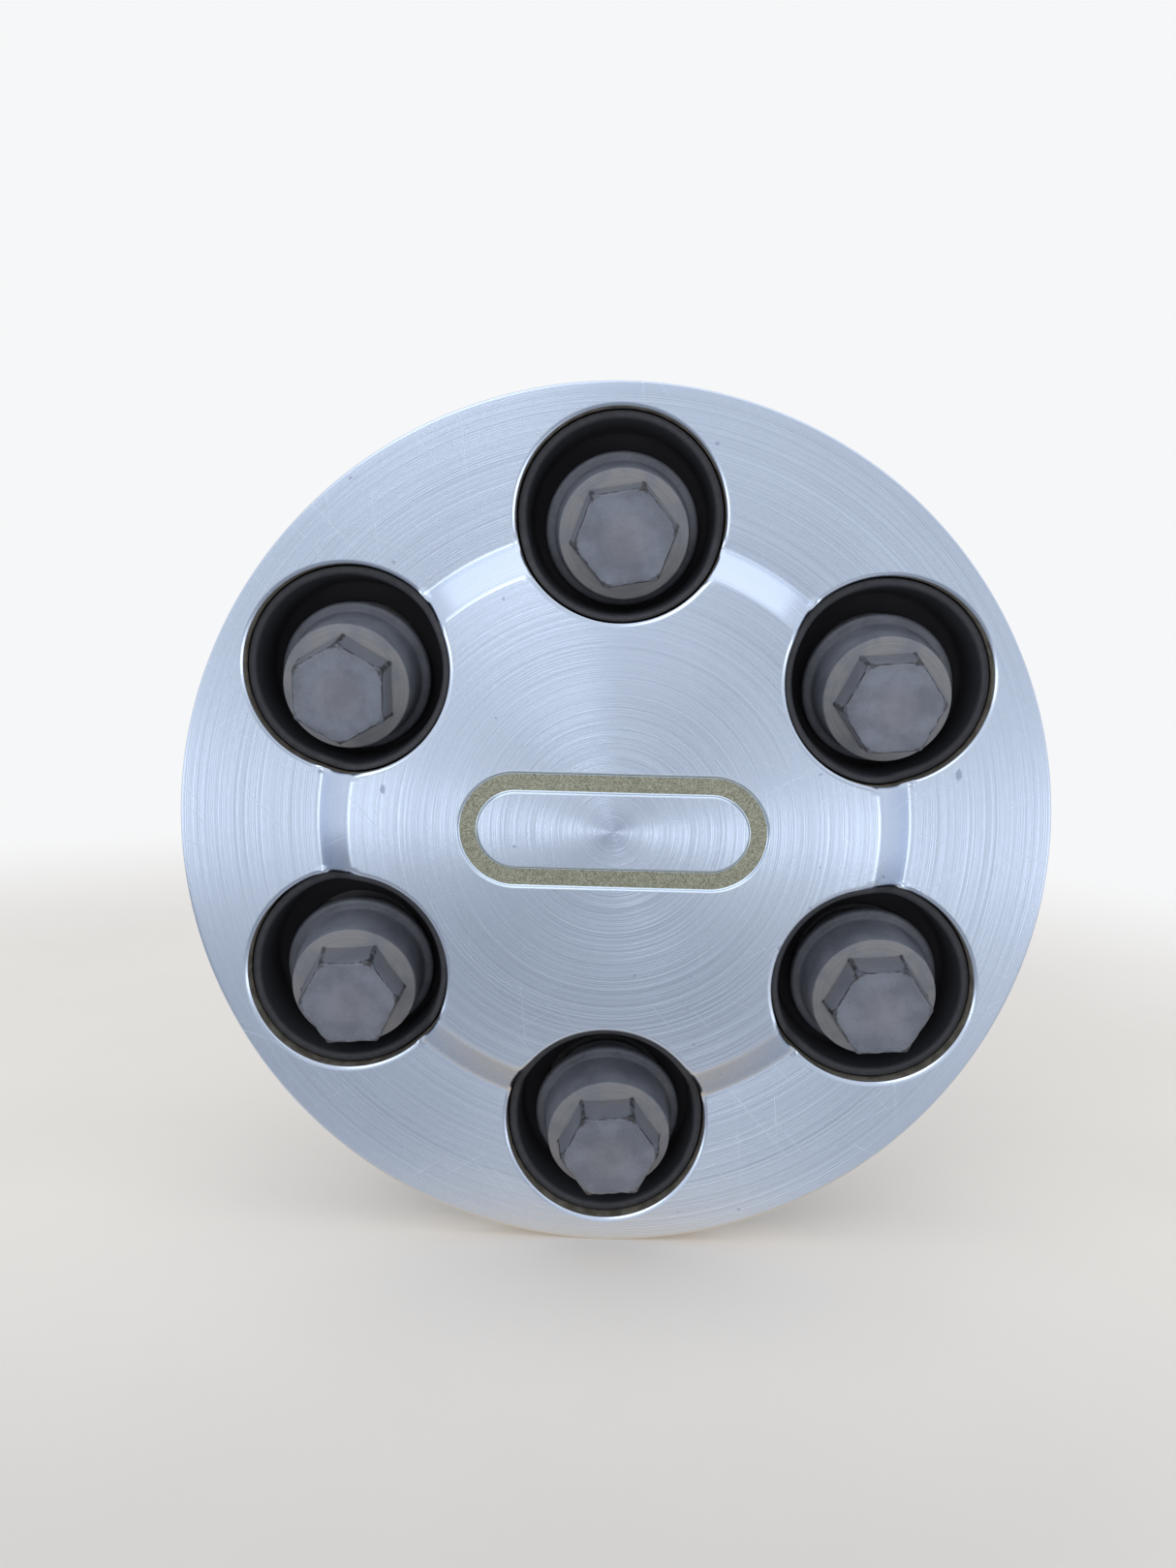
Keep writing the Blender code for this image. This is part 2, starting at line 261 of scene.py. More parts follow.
# %% The tree that sockets belong to, and a material made of one
class Recipe:
    """A node tree that is filled one node at a time."""

    def __init__(self, tree):
        self.tree = tree

    def node(self, kind, settings=None, sockets=None, output=0):
        """Add a node, set it, fill or link its sockets, and hand back one output or several."""
        node = self.tree.nodes.new(kind)
        for name, value in (settings or {}).items():
            setattr(node, name, value)
        for name, value in (sockets or {}).items():
            if isinstance(value, Flow):
                self.tree.links.new(value.socket, node.inputs[name])
            else:
                node.inputs[name].default_value = value
        if isinstance(output, tuple):
            return [Flow(self, node.outputs[name]) for name in output]
        return None if output is None else Flow(self, node.outputs[output])

    def mix(self, factor, first, second):
        """Blend two colours, each a flow or its red, green and blue."""
        first, second = [tone if isinstance(tone, Flow) else (*tone, 1.0) for tone in (first, second)]
        return self.node("ShaderNodeMix", {"data_type": "RGBA"}, {0: factor, 6: first, 7: second}, output=2)

    def noise(self, vector, scale, detail=2.0, roughness=0.5):
        return self.node(
            "ShaderNodeTexNoise", {},
            {"Vector": vector, "Scale": scale, "Detail": detail, "Roughness": roughness},
        )

    def grooves(self, radius, scale, detail):
        """Noise that depends on the distance from an axis alone."""
        return self.node(
            "ShaderNodeTexNoise", {"noise_dimensions": "1D"},
            {"W": radius, "Scale": scale, "Detail": detail},
        )

    def vector(self, operation, *values, output=0):
        return self.node("ShaderNodeVectorMath", {"operation": operation}, dict(enumerate(values)), output)

    def parts(self, vector):
        """The x, y and z of a vector."""
        return self.node("ShaderNodeSeparateXYZ", {}, {0: vector}, output=(0, 1, 2))

    def surface(self, output, shader):
        """Lead a shader to the tree's output."""
        self.tree.links.new(shader.socket, self.tree.nodes[output].inputs["Surface"])


class Finish(Recipe):
    """A material with a Principled shader; Object coordinates come in millimetres."""

    def __init__(self, name, **fixed):
        self.material = bpy.data.materials.new(name)
        self.material.use_nodes = True
        super().__init__(self.material.node_tree)
        self.shader = self.tree.nodes["Principled BSDF"]
        for socket, value in fixed.items():
            self.shader.inputs[socket.replace("_", " ")].default_value = value
        place = self.node("ShaderNodeTexCoord", output="Object")
        self.place = self.vector("MULTIPLY", place, (1 / MM, 1 / MM, 1 / MM))

    def attributes(self, *names):
        """Numbers that the points of a piece carry."""
        return [self.node("ShaderNodeAttribute", {"attribute_name": name}, output="Fac") for name in names]

    def away(self, centre, scale):
        """Distance from a point in millimetres, each direction measured on a scale of its own."""
        shifted = self.vector("SUBTRACT", self.place, centre)
        return self.vector("LENGTH", self.vector("MULTIPLY", shifted, scale), output=1)

    def feed(self, socket, value):
        self.tree.links.new(value.socket, self.shader.inputs[socket])

    def bump(self, height, strength, distance):
        """Let a height in millimetres roughen the surface."""
        normal = self.node(
            "ShaderNodeBump", {}, {"Height": height, "Strength": strength, "Distance": distance * MM},
        )
        self.feed("Normal", normal)


print("recipes ready")

# %% [markdown]
# ## Turned aluminium
# A lathe tool leaves fine grooves round the axis. Each groove tilts the surface a little towards or
# away from the centre, so light spreads along the radius and draws bright and dark fans. The grooves
# are finer than a pixel, so a bump map would alias: instead the shading normal itself is tilted along
# the radius by noise that depends only on the distance from the axis. Hair scratches, nicks and
# cloudy patches then break up the even shine, and the middle is darkened with painted shade where the
# fans meet. The plate carries two attributes: rolled, at the lug holes, and edge, along the recess,
# where the turning gives way to a plain edge that is painted brighter as a highlight.

# %% Scratches and nicks
def hair_scratches(finish, turn, across, along, seat):
    """Thin straight scratches in one direction: the middles of cells that are stretched along it."""
    turned_place = finish.node(
        "ShaderNodeMapping", {},
        {"Vector": finish.place, "Location": seat, "Rotation": (0.0, turn, 0.0)},
    )
    x, _, z = finish.parts(turned_place)
    cell_place = finish.node("ShaderNodeCombineXYZ", {}, {"X": x * across, "Y": z * along})
    distance, tint = finish.node(
        "ShaderNodeTexVoronoi", {"voronoi_dimensions": "2D"}, {"Vector": cell_place, "Scale": 1.0},
        output=("Distance", "Color"),
    )
    width = finish.parts(tint)[0] * 0.10 + 0.01
    return 1.0 - (distance / width).step(0.3, 1.0)


def nick(finish, x, z, size):
    """A small ragged dent at one place."""
    away = finish.away((x, 0.0, z), (1.0, 0.0, 0.55))
    ragged = away + (finish.noise(finish.place, 1.6, 2.0) - 0.5) * size
    return 1.0 - ragged.step(0.55 * size, 0.85 * size)


def small_nicks(finish):
    """Nicks strewn over the whole face."""
    cells = finish.node(
        "ShaderNodeTexVoronoi", {"voronoi_dimensions": "3D"},
        {"Vector": finish.place, "Scale": 0.11, "Randomness": 1.0},
    )
    ragged = cells + finish.noise(finish.place, 1.4, 2.0) * 0.12
    return 1.0 - ragged.step(0.085, 0.115)


print("scratches and nicks ready")


# %% Turned aluminium
# Each set of scratches: turn, cells across and along per millimetre, seat and strength
SCRATCH_SETS = (
    (0.75, 0.45, 0.006, (3.0, 0.0, 11.0), 1.0),
    (-1.05, 0.5, 0.007, (47.0, 0.0, 5.0), 0.8),
    (1.2, 0.4, 0.009, (9.0, 0.0, 71.0), 0.7),
    (0.1, 0.3, 0.005, (29.0, 0.0, 37.0), 0.6),
)
# The two largest nicks: x, z and size in millimetres
LARGE_NICKS = ((-51.9, 8.4, 0.8), (77.7, 14.4, 1.0))
FINE_GROOVES = 17.0
COARSE_GROOVES = 2.6
FINE_TILT = 1.5
SHADED_ALUMINIUM = (0.375, 0.435, 0.59)
BRIGHT_ALUMINIUM = (0.72, 0.84, 1.0)


def turned_aluminium():
    finish = Finish("turned_aluminium", Metallic=1.0)
    rolled, edge = finish.attributes("rolled", "edge")
    flat = finish.vector("MULTIPLY", finish.place, (1.0, 0.0, 1.0))
    radius = finish.vector("LENGTH", flat, output=1)
    drift = finish.noise(finish.place, 0.05, 2.0) * 0.15
    fine = finish.grooves(radius, FINE_GROOVES, 1.0)
    coarse = finish.grooves(radius + drift, COARSE_GROOVES, 3.0)
    band = radius.step(HUB_RADIUS + 0.4, HUB_RADIUS + 1.4)
    band = band * (1.0 - radius.step(VALLEY_RADIUS - 1.6, VALLEY_RADIUS - 0.6))
    lines = (1.0 - 0.75 * band) * (1.0 - rolled.step(0.0, 0.35)) * (1.0 - edge)
    gate = finish.noise(finish.place, 0.07, 2.0).step(0.40, 0.62)
    tilt = ((fine - 0.5) * FINE_TILT + (coarse - 0.5) * (0.04 + gate * 0.08)) * lines
    spoke = finish.vector("NORMALIZE", flat)
    sideways = finish.node("ShaderNodeVectorMath", {"operation": "SCALE"}, {0: spoke, "Scale": tilt})
    tilted = finish.vector("ADD", finish.node("ShaderNodeNewGeometry", output="Normal"), sideways)
    finish.feed("Normal", finish.vector("NORMALIZE", tilted))

    scratches = sum(hair_scratches(finish, *cells) * strength for *cells, strength in SCRATCH_SETS)
    worn_patch = finish.noise(finish.place, 0.035, 2.0).step(0.36, 0.60)
    scratches = scratches * (0.3 + 0.7 * worn_patch)
    nicks = small_nicks(finish) + sum(nick(finish, *place) for place in LARGE_NICKS)
    clouds = finish.noise(finish.place, 0.03, 3.0)
    # Painted shade in the middle of the face, where the fans of the turning meet.
    middle = 1.0 - radius.step(1.0, 8.0)
    shade = (clouds - 0.5) * 0.12 + (coarse - 0.5) * (0.05 + gate * 0.11)
    # edge paints a highlight along the recess walls, and middle paints shade at the axis.
    shade = shade + scratches * 0.11 - nicks * 0.45 + edge * 0.25 - middle * 0.14
    tone = finish.mix((shade + 0.5).step(0.0, 1.0), SHADED_ALUMINIUM, BRIGHT_ALUMINIUM)
    finish.feed("Base Color", tone)
    finish.feed("Roughness", 0.20 + (clouds - 0.5) * 0.10 + scratches * 0.12 + nicks * 0.2 - band * 0.05)
    return finish.material


ALUMINIUM = turned_aluminium()
print("made", ALUMINIUM.name, "with", len(ALUMINIUM.node_tree.nodes), "nodes")


# %% Paint in the recess, and the sawn walls of the lug holes
DULL_GOLD = (0.150, 0.155, 0.108)
GOLD_FLAKE = (0.455, 0.468, 0.375)
WORN_GOLD = (0.36, 0.365, 0.29)
# Warm tones of the hole walls: a painted reflection of warm surroundings, the darker one also old dirt.
SAWN_METAL_WARM_REFLECTION = (0.46, 0.43, 0.37)
DIRT_AND_WARM_REFLECTION = (0.26, 0.235, 0.19)


def gold_paint():
    """Metallic paint in the recess: dull gold with glinting flakes."""
    finish = Finish("gold_paint", Metallic=0.45)
    cells = finish.node("ShaderNodeTexVoronoi", {}, {"Vector": finish.place, "Scale": 4.6}, output="Color")
    flake = finish.parts(cells)[0]
    worn = finish.noise(finish.place, 0.16, 3.0)
    tone = finish.mix(flake, DULL_GOLD, GOLD_FLAKE)
    finish.feed("Base Color", finish.mix(worn.step(0.60, 0.75) * 0.25, tone, WORN_GOLD))
    finish.feed("Roughness", 0.36 + flake * 0.20)
    finish.bump(flake, 0.25, 0.05)
    return finish.material


def cut_metal():
    """The sawn wall of a lug hole: a warm tone that is a painted reflection, dulled in patches by old dirt.
    """
    finish = Finish("cut_metal", Metallic=0.5)
    dirt = finish.noise(finish.place, 0.35, 3.0)
    finish.feed("Base Color", finish.mix(dirt.step(0.35, 0.65), SAWN_METAL_WARM_REFLECTION, DIRT_AND_WARM_REFLECTION))
    finish.feed("Roughness", 0.42 + dirt * 0.25)
    return finish.material


GOLD = gold_paint()
CUT_METAL = cut_metal()
print("made", GOLD.name, CUT_METAL.name)

# %% [markdown]
# ## Moulded plastics and spring steel
# The cups and the backing are black and satin: their detail is a fine grain and some dust. The nut
# caps have seen many wrenches. Noise alone can't know where a wrench reaches, where dirt gathers or
# where shade falls, so the meshes carry attributes. On a nut cap, wear marks the rubbed edges, dirt
# the places where it settles, grime the edges, the crease at the hexagon's foot and the
# flange deep in the cup, which are darkened with grime and painted shade, seam the corners where dirt
# cakes and a dark line along the front edge, lathe the shoulder with its rings, off_axis the distance
# from the cap's own axis, and front the end of the hexagon. Noise then breaks them up. In a cup, wear
# marks the lip, and deep paints shade that grows towards the floor.

# %% Black satin plastic
CUP_DARK = (0.045, 0.047, 0.057)
CUP_DUST = (0.075, 0.080, 0.094)
# Painted shade deep in a cup
CUP_DEPTH_SHADE = (0.021, 0.021, 0.025)
BACKING_DARK = (0.014, 0.014, 0.016)
BACKING_DUST = (0.055, 0.054, 0.052)


def black_plastic(name, dark, dusty, gloss, grain):
    finish = Finish(name, Specular_IOR_Level=0.3)
    wear, deep = finish.attributes("wear", "deep")
    cloud = finish.noise(finish.place, 0.09, 3.0)
    dust = finish.noise(finish.place, 0.9, 4.0, 0.65).step(0.45, 0.80) * cloud.step(0.30, 0.70)
    rubbed = wear * finish.noise(finish.place, 0.7, 3.0).step(0.30, 0.65)
    tone = finish.mix(dust * 0.5 + rubbed * 0.8, dark, dusty)
    # Painted shade that grows towards the cup's floor.
    finish.feed("Base Color", finish.mix(deep, tone, CUP_DEPTH_SHADE))
    finish.feed("Roughness", gloss + dust * 0.18 + (cloud - 0.5) * 0.12 + deep * 0.4)
    finish.bump(finish.noise(finish.place, grain, 2.0), 0.25, 0.06)
    return finish.material


CUP_BLACK = black_plastic("cup_black", CUP_DARK, CUP_DUST, 0.42, 5.0)
BACKING_BLACK = black_plastic("backing_black", BACKING_DARK, BACKING_DUST, 0.46, 3.0)
print("made", CUP_BLACK.name, BACKING_BLACK.name)


# %% Worn charcoal plastic of the nut caps
CHARCOAL_DARK = (0.134, 0.149, 0.192)
CHARCOAL_PALE = (0.206, 0.226, 0.286)
GROOVE_DARK = (0.110, 0.112, 0.120)
GROOVE_PALE = (0.215, 0.216, 0.224)
SHOULDER_PALE = (0.345, 0.340, 0.335)
# Grime and painted shade
GRIME_AND_SHADE = (0.026, 0.028, 0.034)
CAKED_DIRT = (0.030, 0.031, 0.036)
RUBBED = (0.26, 0.265, 0.28)
SCUFFED = (0.24, 0.245, 0.26)
FRONT_DUST = (0.275, 0.265, 0.27)
RING_DUST = (0.22, 0.225, 0.25)
MOULD_RING_RADIUS = 4.9


def worn_charcoal():
    finish = Finish("worn_charcoal")
    wear, dirt, grime, seam = finish.attributes("wear", "dirt", "grime", "seam")
    lathe, off_axis, front = finish.attributes("lathe", "off_axis", "front")
    blotch = finish.noise(finish.place, 0.16, 3.0, 0.55)
    speck = finish.noise(finish.place, 1.3, 3.0, 0.6)
    grain = finish.noise(finish.place, 2.6, 2.0)
    mottle = blotch.step(0.30, 0.72) + (grain - 0.5) * 0.9
    tone = finish.mix(mottle, CHARCOAL_DARK, CHARCOAL_PALE)
    grooves = 0.5 + (finish.grooves(off_axis + blotch * 0.6, 3.2, 3.0) - 0.5) * lathe
    shoulder = finish.mix(grooves.step(0.30, 0.70), GROOVE_DARK, GROOVE_PALE)
    shoulder = finish.mix(lathe * 0.35, shoulder, SHOULDER_PALE)
    tone = finish.mix(dirt * (0.45 + blotch.step(0.35, 0.65) * 0.5), tone, shoulder)
    patchy = finish.noise(finish.place, 0.32, 3.0, 0.6).step(0.42, 0.60)
    # Grime and painted shade in the creases, along the edges and deep in the cup.
    tone = finish.mix(grime * (0.6 + patchy * 0.4), tone, GRIME_AND_SHADE)
    lumps = finish.noise(finish.place, 0.55, 2.0).step(0.35, 0.60)
    caked = seam.step(0.25, 0.85) * (0.35 + lumps * 0.65)
    tone = finish.mix(caked, tone, CAKED_DIRT)
    rubbed = wear * speck.step(0.56, 0.70) * (1.0 - caked)
    tone = finish.mix(rubbed * 0.6, tone, RUBBED)
    scuff_place = finish.vector("MULTIPLY", finish.place, (0.5, 2.2, 3.0))
    scuffs = finish.noise(scuff_place, 1.0, 3.0, 0.7).step(0.62, 0.72)
    tone = finish.mix(scuffs * 0.14, tone, SCUFFED)
    off_ring = off_axis - MOULD_RING_RADIUS
    ring = (1.0 - (off_ring * off_ring).step(0.02, 1.1)) * front
    disc = (1.0 - off_axis.step(3.2, 5.6)) * front
    tone = finish.mix(disc * 0.22, tone, FRONT_DUST)
    finish.feed("Base Color", finish.mix(ring * 0.16, tone, RING_DUST))
    finish.feed("Roughness", 0.40 + speck * 0.12 + rubbed * 0.10 + dirt * 0.06)
    finish.bump(speck * 0.5 + blotch * 0.8 + grooves * dirt * 0.4, 0.30, 0.10)
    return finish.material


CHARCOAL = worn_charcoal()
print("made", CHARCOAL.name, "with", len(CHARCOAL.node_tree.nodes), "nodes")


# %% Spring steel of the retaining rings
STEEL_GREY = (0.34, 0.345, 0.36)
STEEL_STAIN = (0.23, 0.185, 0.15)
STEEL_PALE = (0.46, 0.465, 0.48)


def spring_steel():
    finish = Finish("spring_steel", Metallic=1.0)
    stain = finish.noise(finish.place, 0.22, 4.0, 0.6)
    grain = finish.noise(finish.vector("MULTIPLY", finish.place, (0.6, 9.0, 0.6)), 1.0, 3.0)
    tone = finish.mix(stain.step(0.50, 0.80) * 0.7, STEEL_GREY, STEEL_STAIN)
    finish.feed("Base Color", finish.mix(grain * 0.25, tone, STEEL_PALE))
    finish.feed("Roughness", 0.30 + grain * 0.14 + stain * 0.10)
    finish.bump(grain, 0.15, 0.05)
    return finish.material


STEEL = spring_steel()
print("made", STEEL.name)

# %% [markdown]
# ## The turned face
# The face is one aluminium plate: a nearly flat hub, a sloping step, a dished ring and a rim turned
# back, with six lug holes and a shallow painted recess. A boolean would leave long thin triangles and
# hard hole edges. Here the face is laid out flat first: rings of points follow the turning, and loops
# follow each hole and the recess. A Delaunay triangulation joins them and keeps the loops as edges, so
# the paint ends in a clean line. Formulas then lift every point: the front rolls over a little at every
# hole, its bends are eased there, and the shading normals come from the same formulas.

# %% Heights of the face
HUB_EDGE_ROUND = 2.0
STEP_FILLET = 1.1
HOLE_ROUND = 1.8
HOLE_LEAN = sin(radians(34.0))
HOLE_EASING = 2.0
EASED_REACH = 2.4
RECESS_RADIUS = 13.0
RECESS_STRAIGHT = 22.0
RECESS_BAND = 4.4
RECESS_DEPTH = 0.6
RECESS_WALL = 0.7
front_line = filleted([
    (0.0, HUB_HEIGHT + HUB_CROWN, 0.0),
    (HUB_RADIUS, HUB_HEIGHT, HUB_EDGE_ROUND),
    (VALLEY_RADIUS, VALLEY_HEIGHT, STEP_FILLET),
    (FACE_RADIUS, RIM_HEIGHT, 0.0),
], steps=10)


def contour(radius):
    """Height of the turned front at a distance from the axis."""
    return np.interp(radius, front_line[:, 0], front_line[:, 1])


def soft_contour(radius):
    """The contour with its bends eased, as it is next to the lug holes."""
    offsets = np.linspace(-EASED_REACH, EASED_REACH, 13)
    return np.mean([contour(np.abs(radius + offset)) for offset in offsets], axis=0)


def hole_distances(x, y):
    """Distance outside the edge of each lug hole."""
    return np.array([np.hypot(x - cx, y - cy) for cx, cy in LUG_CENTRES]) - LUG_HOLE_RADIUS


def hole_distance(x, y):
    """Distance outside the edge of the nearest lug hole."""
    return np.min(hole_distances(x, y), axis=0)


def recess_distance(x, y):
    """Distance outside the obround band of the recess; it is negative in the band."""
    outline = np.hypot(np.maximum(np.abs(x) - RECESS_STRAIGHT, 0.0), y) - RECESS_RADIUS
    return np.abs(outline + RECESS_BAND / 2) - RECESS_BAND / 2


def lathe_height(x, y):
    """The turned front with the recess, before the hole edges roll over."""
    sunk = np.clip(0.5 - recess_distance(x, y) / RECESS_WALL, 0.0, 1.0)
    eased = np.clip(1.0 - hole_distance(x, y) / HOLE_EASING, 0.0, 1.0) ** 2
    radius = np.hypot(x, y)
    height = contour(radius) * (1.0 - eased) + soft_contour(radius) * eased
    return height - RECESS_DEPTH * sunk * sunk * (3.0 - 2.0 * sunk)


print("face contour points:", len(front_line))

# %% Points that follow the turning, the holes and the recess
RIM_COLUMNS = 360
HOLE_COLUMNS = 180
BAND_COLUMNS = (260, 220)
RIM_START = FACE_RADIUS - 1.4
LOOP_CLEARANCE = 0.35
FULL_RINGS_FROM = 50.0
HOLE_OFFSETS = (0.15, 0.3, 0.45, 0.6, 0.75, 0.9, 1.1, 1.4, 2.0)
RECESS_OFFSETS = (-2.2, -1.2, -0.7, -0.35, -0.22, -0.1, 0.0, 0.1, 0.22, 0.35, 0.6, 1.1)
# Start, end and spacing of the rings, which are close together where the contour bends
TURNING_SPANS = (
    (1.5, 57.0, 2.2),
    (57.0, 62.0, 0.25),
    (62.0, 65.5, 0.8),
    (65.5, 70.2, 0.25),
    (70.5, RIM_START - 1.0, 1.9),
)


def obround_loop(outset, count):
    """Points on the recess's outline, moved out by a distance."""
    radius = RECESS_RADIUS + outset
    straight = 2 * RECESS_STRAIGHT
    length = 2 * (straight + pi * radius)
    loop = []
    for at in np.arange(count) * length / count:
        half, at = divmod(at, length / 2)
        if at < straight:
            point = Vector((RECESS_STRAIGHT - at, radius))
        else:
            angle = pi / 2 + (at - straight) / radius
            point = Vector((-RECESS_STRAIGHT + radius * cos(angle), radius * sin(angle)))
        loop.append(point if half == 0 else -point)
    return np.array([tuple(point) for point in loop])


def hole_loops(offset):
    return [circle(cx, cy, LUG_HOLE_RADIUS + offset, HOLE_COLUMNS) for cx, cy in LUG_CENTRES]


def face_points():
    """Loose points of the turning, and closed loops along the recess and round the holes."""
    points = [np.zeros((1, 2))]
    for radius in np.concatenate([np.arange(*span) for span in TURNING_SPANS]):
        count = RIM_COLUMNS if radius > FULL_RINGS_FROM else int(max(24, radius * 6))
        ring = circle(0.0, 0.0, radius, count)
        clear = hole_distance(*ring.T) > HOLE_OFFSETS[-1] + LOOP_CLEARANCE
        clear &= recess_distance(*ring.T) > RECESS_OFFSETS[-1] + LOOP_CLEARANCE
        points.append(ring[clear])
    loops = []
    for offset in RECESS_OFFSETS:
        loops.append(obround_loop(offset, BAND_COLUMNS[0]))
        loops.append(obround_loop(-RECESS_BAND - offset, BAND_COLUMNS[1]))
    for offset in HOLE_OFFSETS:
        loops += hole_loops(offset)
    return np.concatenate(points), loops


def back_points():
    """Loose points of the back, which needs no loops."""
    points = [np.zeros((1, 2))]
    for radius in np.arange(6.0, RIM_BORE - 3.0, 6.0):
        ring = circle(0.0, 0.0, radius, int(max(18, radius)))
        points.append(ring[hole_distance(*ring.T) > HOLE_OFFSETS[-1]])
    return np.concatenate(points), []


front_layout = face_points()
back_layout = back_points()
print("loose points:", len(front_layout[0]), "in front,", len(back_layout[0]), "behind")


# %% Triangles between the points
def triangulated(points, inner_loops, rim_radius):
    """Triangles between a rim circle and the six hole edges: points, triangles, rim and hole loops."""
    loops = [circle(0.0, 0.0, rim_radius, RIM_COLUMNS), *hole_loops(0.0), *inner_loops]
    rows = []
    start = 0
    for loop in loops:
        rows.append(range(start, start + len(loop)))
        start += len(loop)
    edges = [(row[i], row[(i + 1) % len(row)]) for row in rows for i in range(len(row))]
    flat = [Vector(point) for point in np.concatenate([*loops, points])]
    placed, _, triangles, origins, _, _ = delaunay_2d_cdt(flat, edges, [], 0, 1e-6)
    placed = np.array([tuple(point) for point in placed])
    found = {first: index for index, origin in enumerate(origins) for first in origin}
    middles = placed[np.array(triangles)].mean(axis=1)
    kept = hole_distance(*middles.T) > -0.005
    borders = [[found[index] for index in row] for row in rows[:LUG_COUNT + 1]]
    return placed, [triangle for triangle, keep in zip(triangles, kept) if keep], borders


front_flat, front_triangles, front_loops = triangulated(*front_layout, RIM_START)
back_flat, back_triangles, back_loops = triangulated(*back_layout, RIM_BORE)
print("front:", len(front_triangles), "triangles, back:", len(back_triangles))

# %% Lift the layout
SLOPE_STEP = 0.02


def front_lift(flat):
    """Heights and normals of the front, which rolls over a little at every hole."""
    x, y = flat.T
    step = SLOPE_STEP
    slope_x = (lathe_height(x + step, y) - lathe_height(x - step, y)) / (2 * step)
    slope_y = (lathe_height(x, y + step) - lathe_height(x, y - step)) / (2 * step)
    normals = np.stack([-slope_x, -slope_y, np.ones(len(x))], axis=1)
    normals /= np.linalg.norm(normals, axis=1, keepdims=True)
    round_share = np.clip(HOLE_LEAN - hole_distance(x, y) / HOLE_ROUND, 0.0, 1.0)
    lean = np.sqrt(1.0 - round_share ** 2)
    heights = lathe_height(x, y) - HOLE_ROUND * (1.0 - lean)
    inward = LUG_CENTRES[np.argmin(hole_distances(x, y), axis=0)] - flat
    inward /= np.linalg.norm(inward, axis=1, keepdims=True)
    normals = normals * lean[:, None]
    normals[:, :2] += inward * round_share[:, None]
    return heights, normals


front_heights, front_normals = front_lift(front_flat)
print("front heights:", round(front_heights.min(), 2), "to", round(front_heights.max(), 2), "mm")


# %% Close the plate and dress it
def rim_outline():
    """The rim from the front's last ring, round the outside and to the back's first ring."""
    return filleted([
        (RIM_START, contour(RIM_START), 0.0),
        (FACE_RADIUS, RIM_HEIGHT, 0.9),
        (FACE_RADIUS, RIM_BACK, 0.6),
        (RIM_BORE, RIM_BACK, 0.4),
        (RIM_BORE, contour(RIM_BORE) - FACE_THICKNESS, 0.0),
    ])[1:-1]


def plate_shape():
    """Points and faces of the plate: the front, the back, the walls of the holes and the rim."""
    back_start = len(front_flat)
    back_heights = contour(np.hypot(*back_flat.T)) - FACE_THICKNESS
    points = [np.column_stack([front_flat, front_heights]), np.column_stack([back_flat, back_heights])]
    faces = [tuple(triangle) for triangle in front_triangles]
    faces += [tuple(back_start + corner for corner in reversed(triangle)) for triangle in back_triangles]
    backs = [[back_start + index for index in loop] for loop in back_loops]
    for front, back in zip(front_loops[1:], backs[1:]):
        for column in range(HOLE_COLUMNS):
            after = (column + 1) % HOLE_COLUMNS
            faces.append((front[column], front[after], back[after], back[column]))
    rings = [front_loops[0]]
    start = back_start + len(back_flat)
    for radius, height in rim_outline():
        points.append(level_circle(0.0, 0.0, radius, height, RIM_COLUMNS))
        rings.append(range(start, start + RIM_COLUMNS))
        start += RIM_COLUMNS
    rings.append(backs[0])
    for inner, outer in zip(rings, rings[1:]):
        for column in range(RIM_COLUMNS):
            after = (column + 1) % RIM_COLUMNS
            faces.append((inner[column], outer[column], outer[after], inner[after]))
    return np.concatenate(points), faces


def face_plate():
    points, faces = plate_shape()
    piece = new_piece("turned_face", points, faces, (ALUMINIUM, GOLD, CUT_METAL))
    aluminium, gold, cut = range(3)
    middles = front_flat[np.array(front_triangles)].mean(axis=1)
    painted = recess_distance(*middles.T) < -RECESS_WALL / 2
    walls_start = len(front_triangles) + len(back_triangles)
    slots = np.full(len(faces), aluminium)
    slots[:len(front_triangles)][painted] = gold
    slots[walls_start:walls_start + LUG_COUNT * HOLE_COLUMNS] = cut
    piece.data.polygons.foreach_set("material_index", slots)
    corners = np.concatenate([np.array(face) for face in faces])
    of_wall = np.repeat(slots == cut, [len(face) for face in faces])
    on_front = (corners < len(front_flat)) & ~of_wall
    shading = np.zeros((len(corners), 3))
    shading[on_front] = (upright(front_normals) / MM)[corners[on_front]]
    piece.data.normals_split_custom_set(shading.tolist())
    rolled = 1.0 - hole_distance(*front_flat.T) / (HOLE_ROUND * HOLE_LEAN)
    # edge marks the recess walls, which the aluminium paints brighter as a highlight.
    edge = (0.5 - np.abs(recess_distance(*front_flat.T))) / 0.2
    behind = np.zeros(len(points) - len(front_flat))
    add_attributes(
        piece,
        rolled=np.append(np.clip(rolled, 0.0, 1.0), behind),
        edge=np.append(np.clip(edge, 0.0, 1.0), behind),
    )
    return piece


turned_face = face_plate()
print("turned face:", len(turned_face.data.polygons), "faces")

# %% [markdown]
# ## Lug cups
# A black cup lines every lug hole. Its lip follows the contour of the face a few millimetres down, so
# it dips where the face steps. One cup is lofted at the top lug position, with the lip's height taken
# from the face formula, and Geometry Nodes set it round the lug circle, as a jig would.

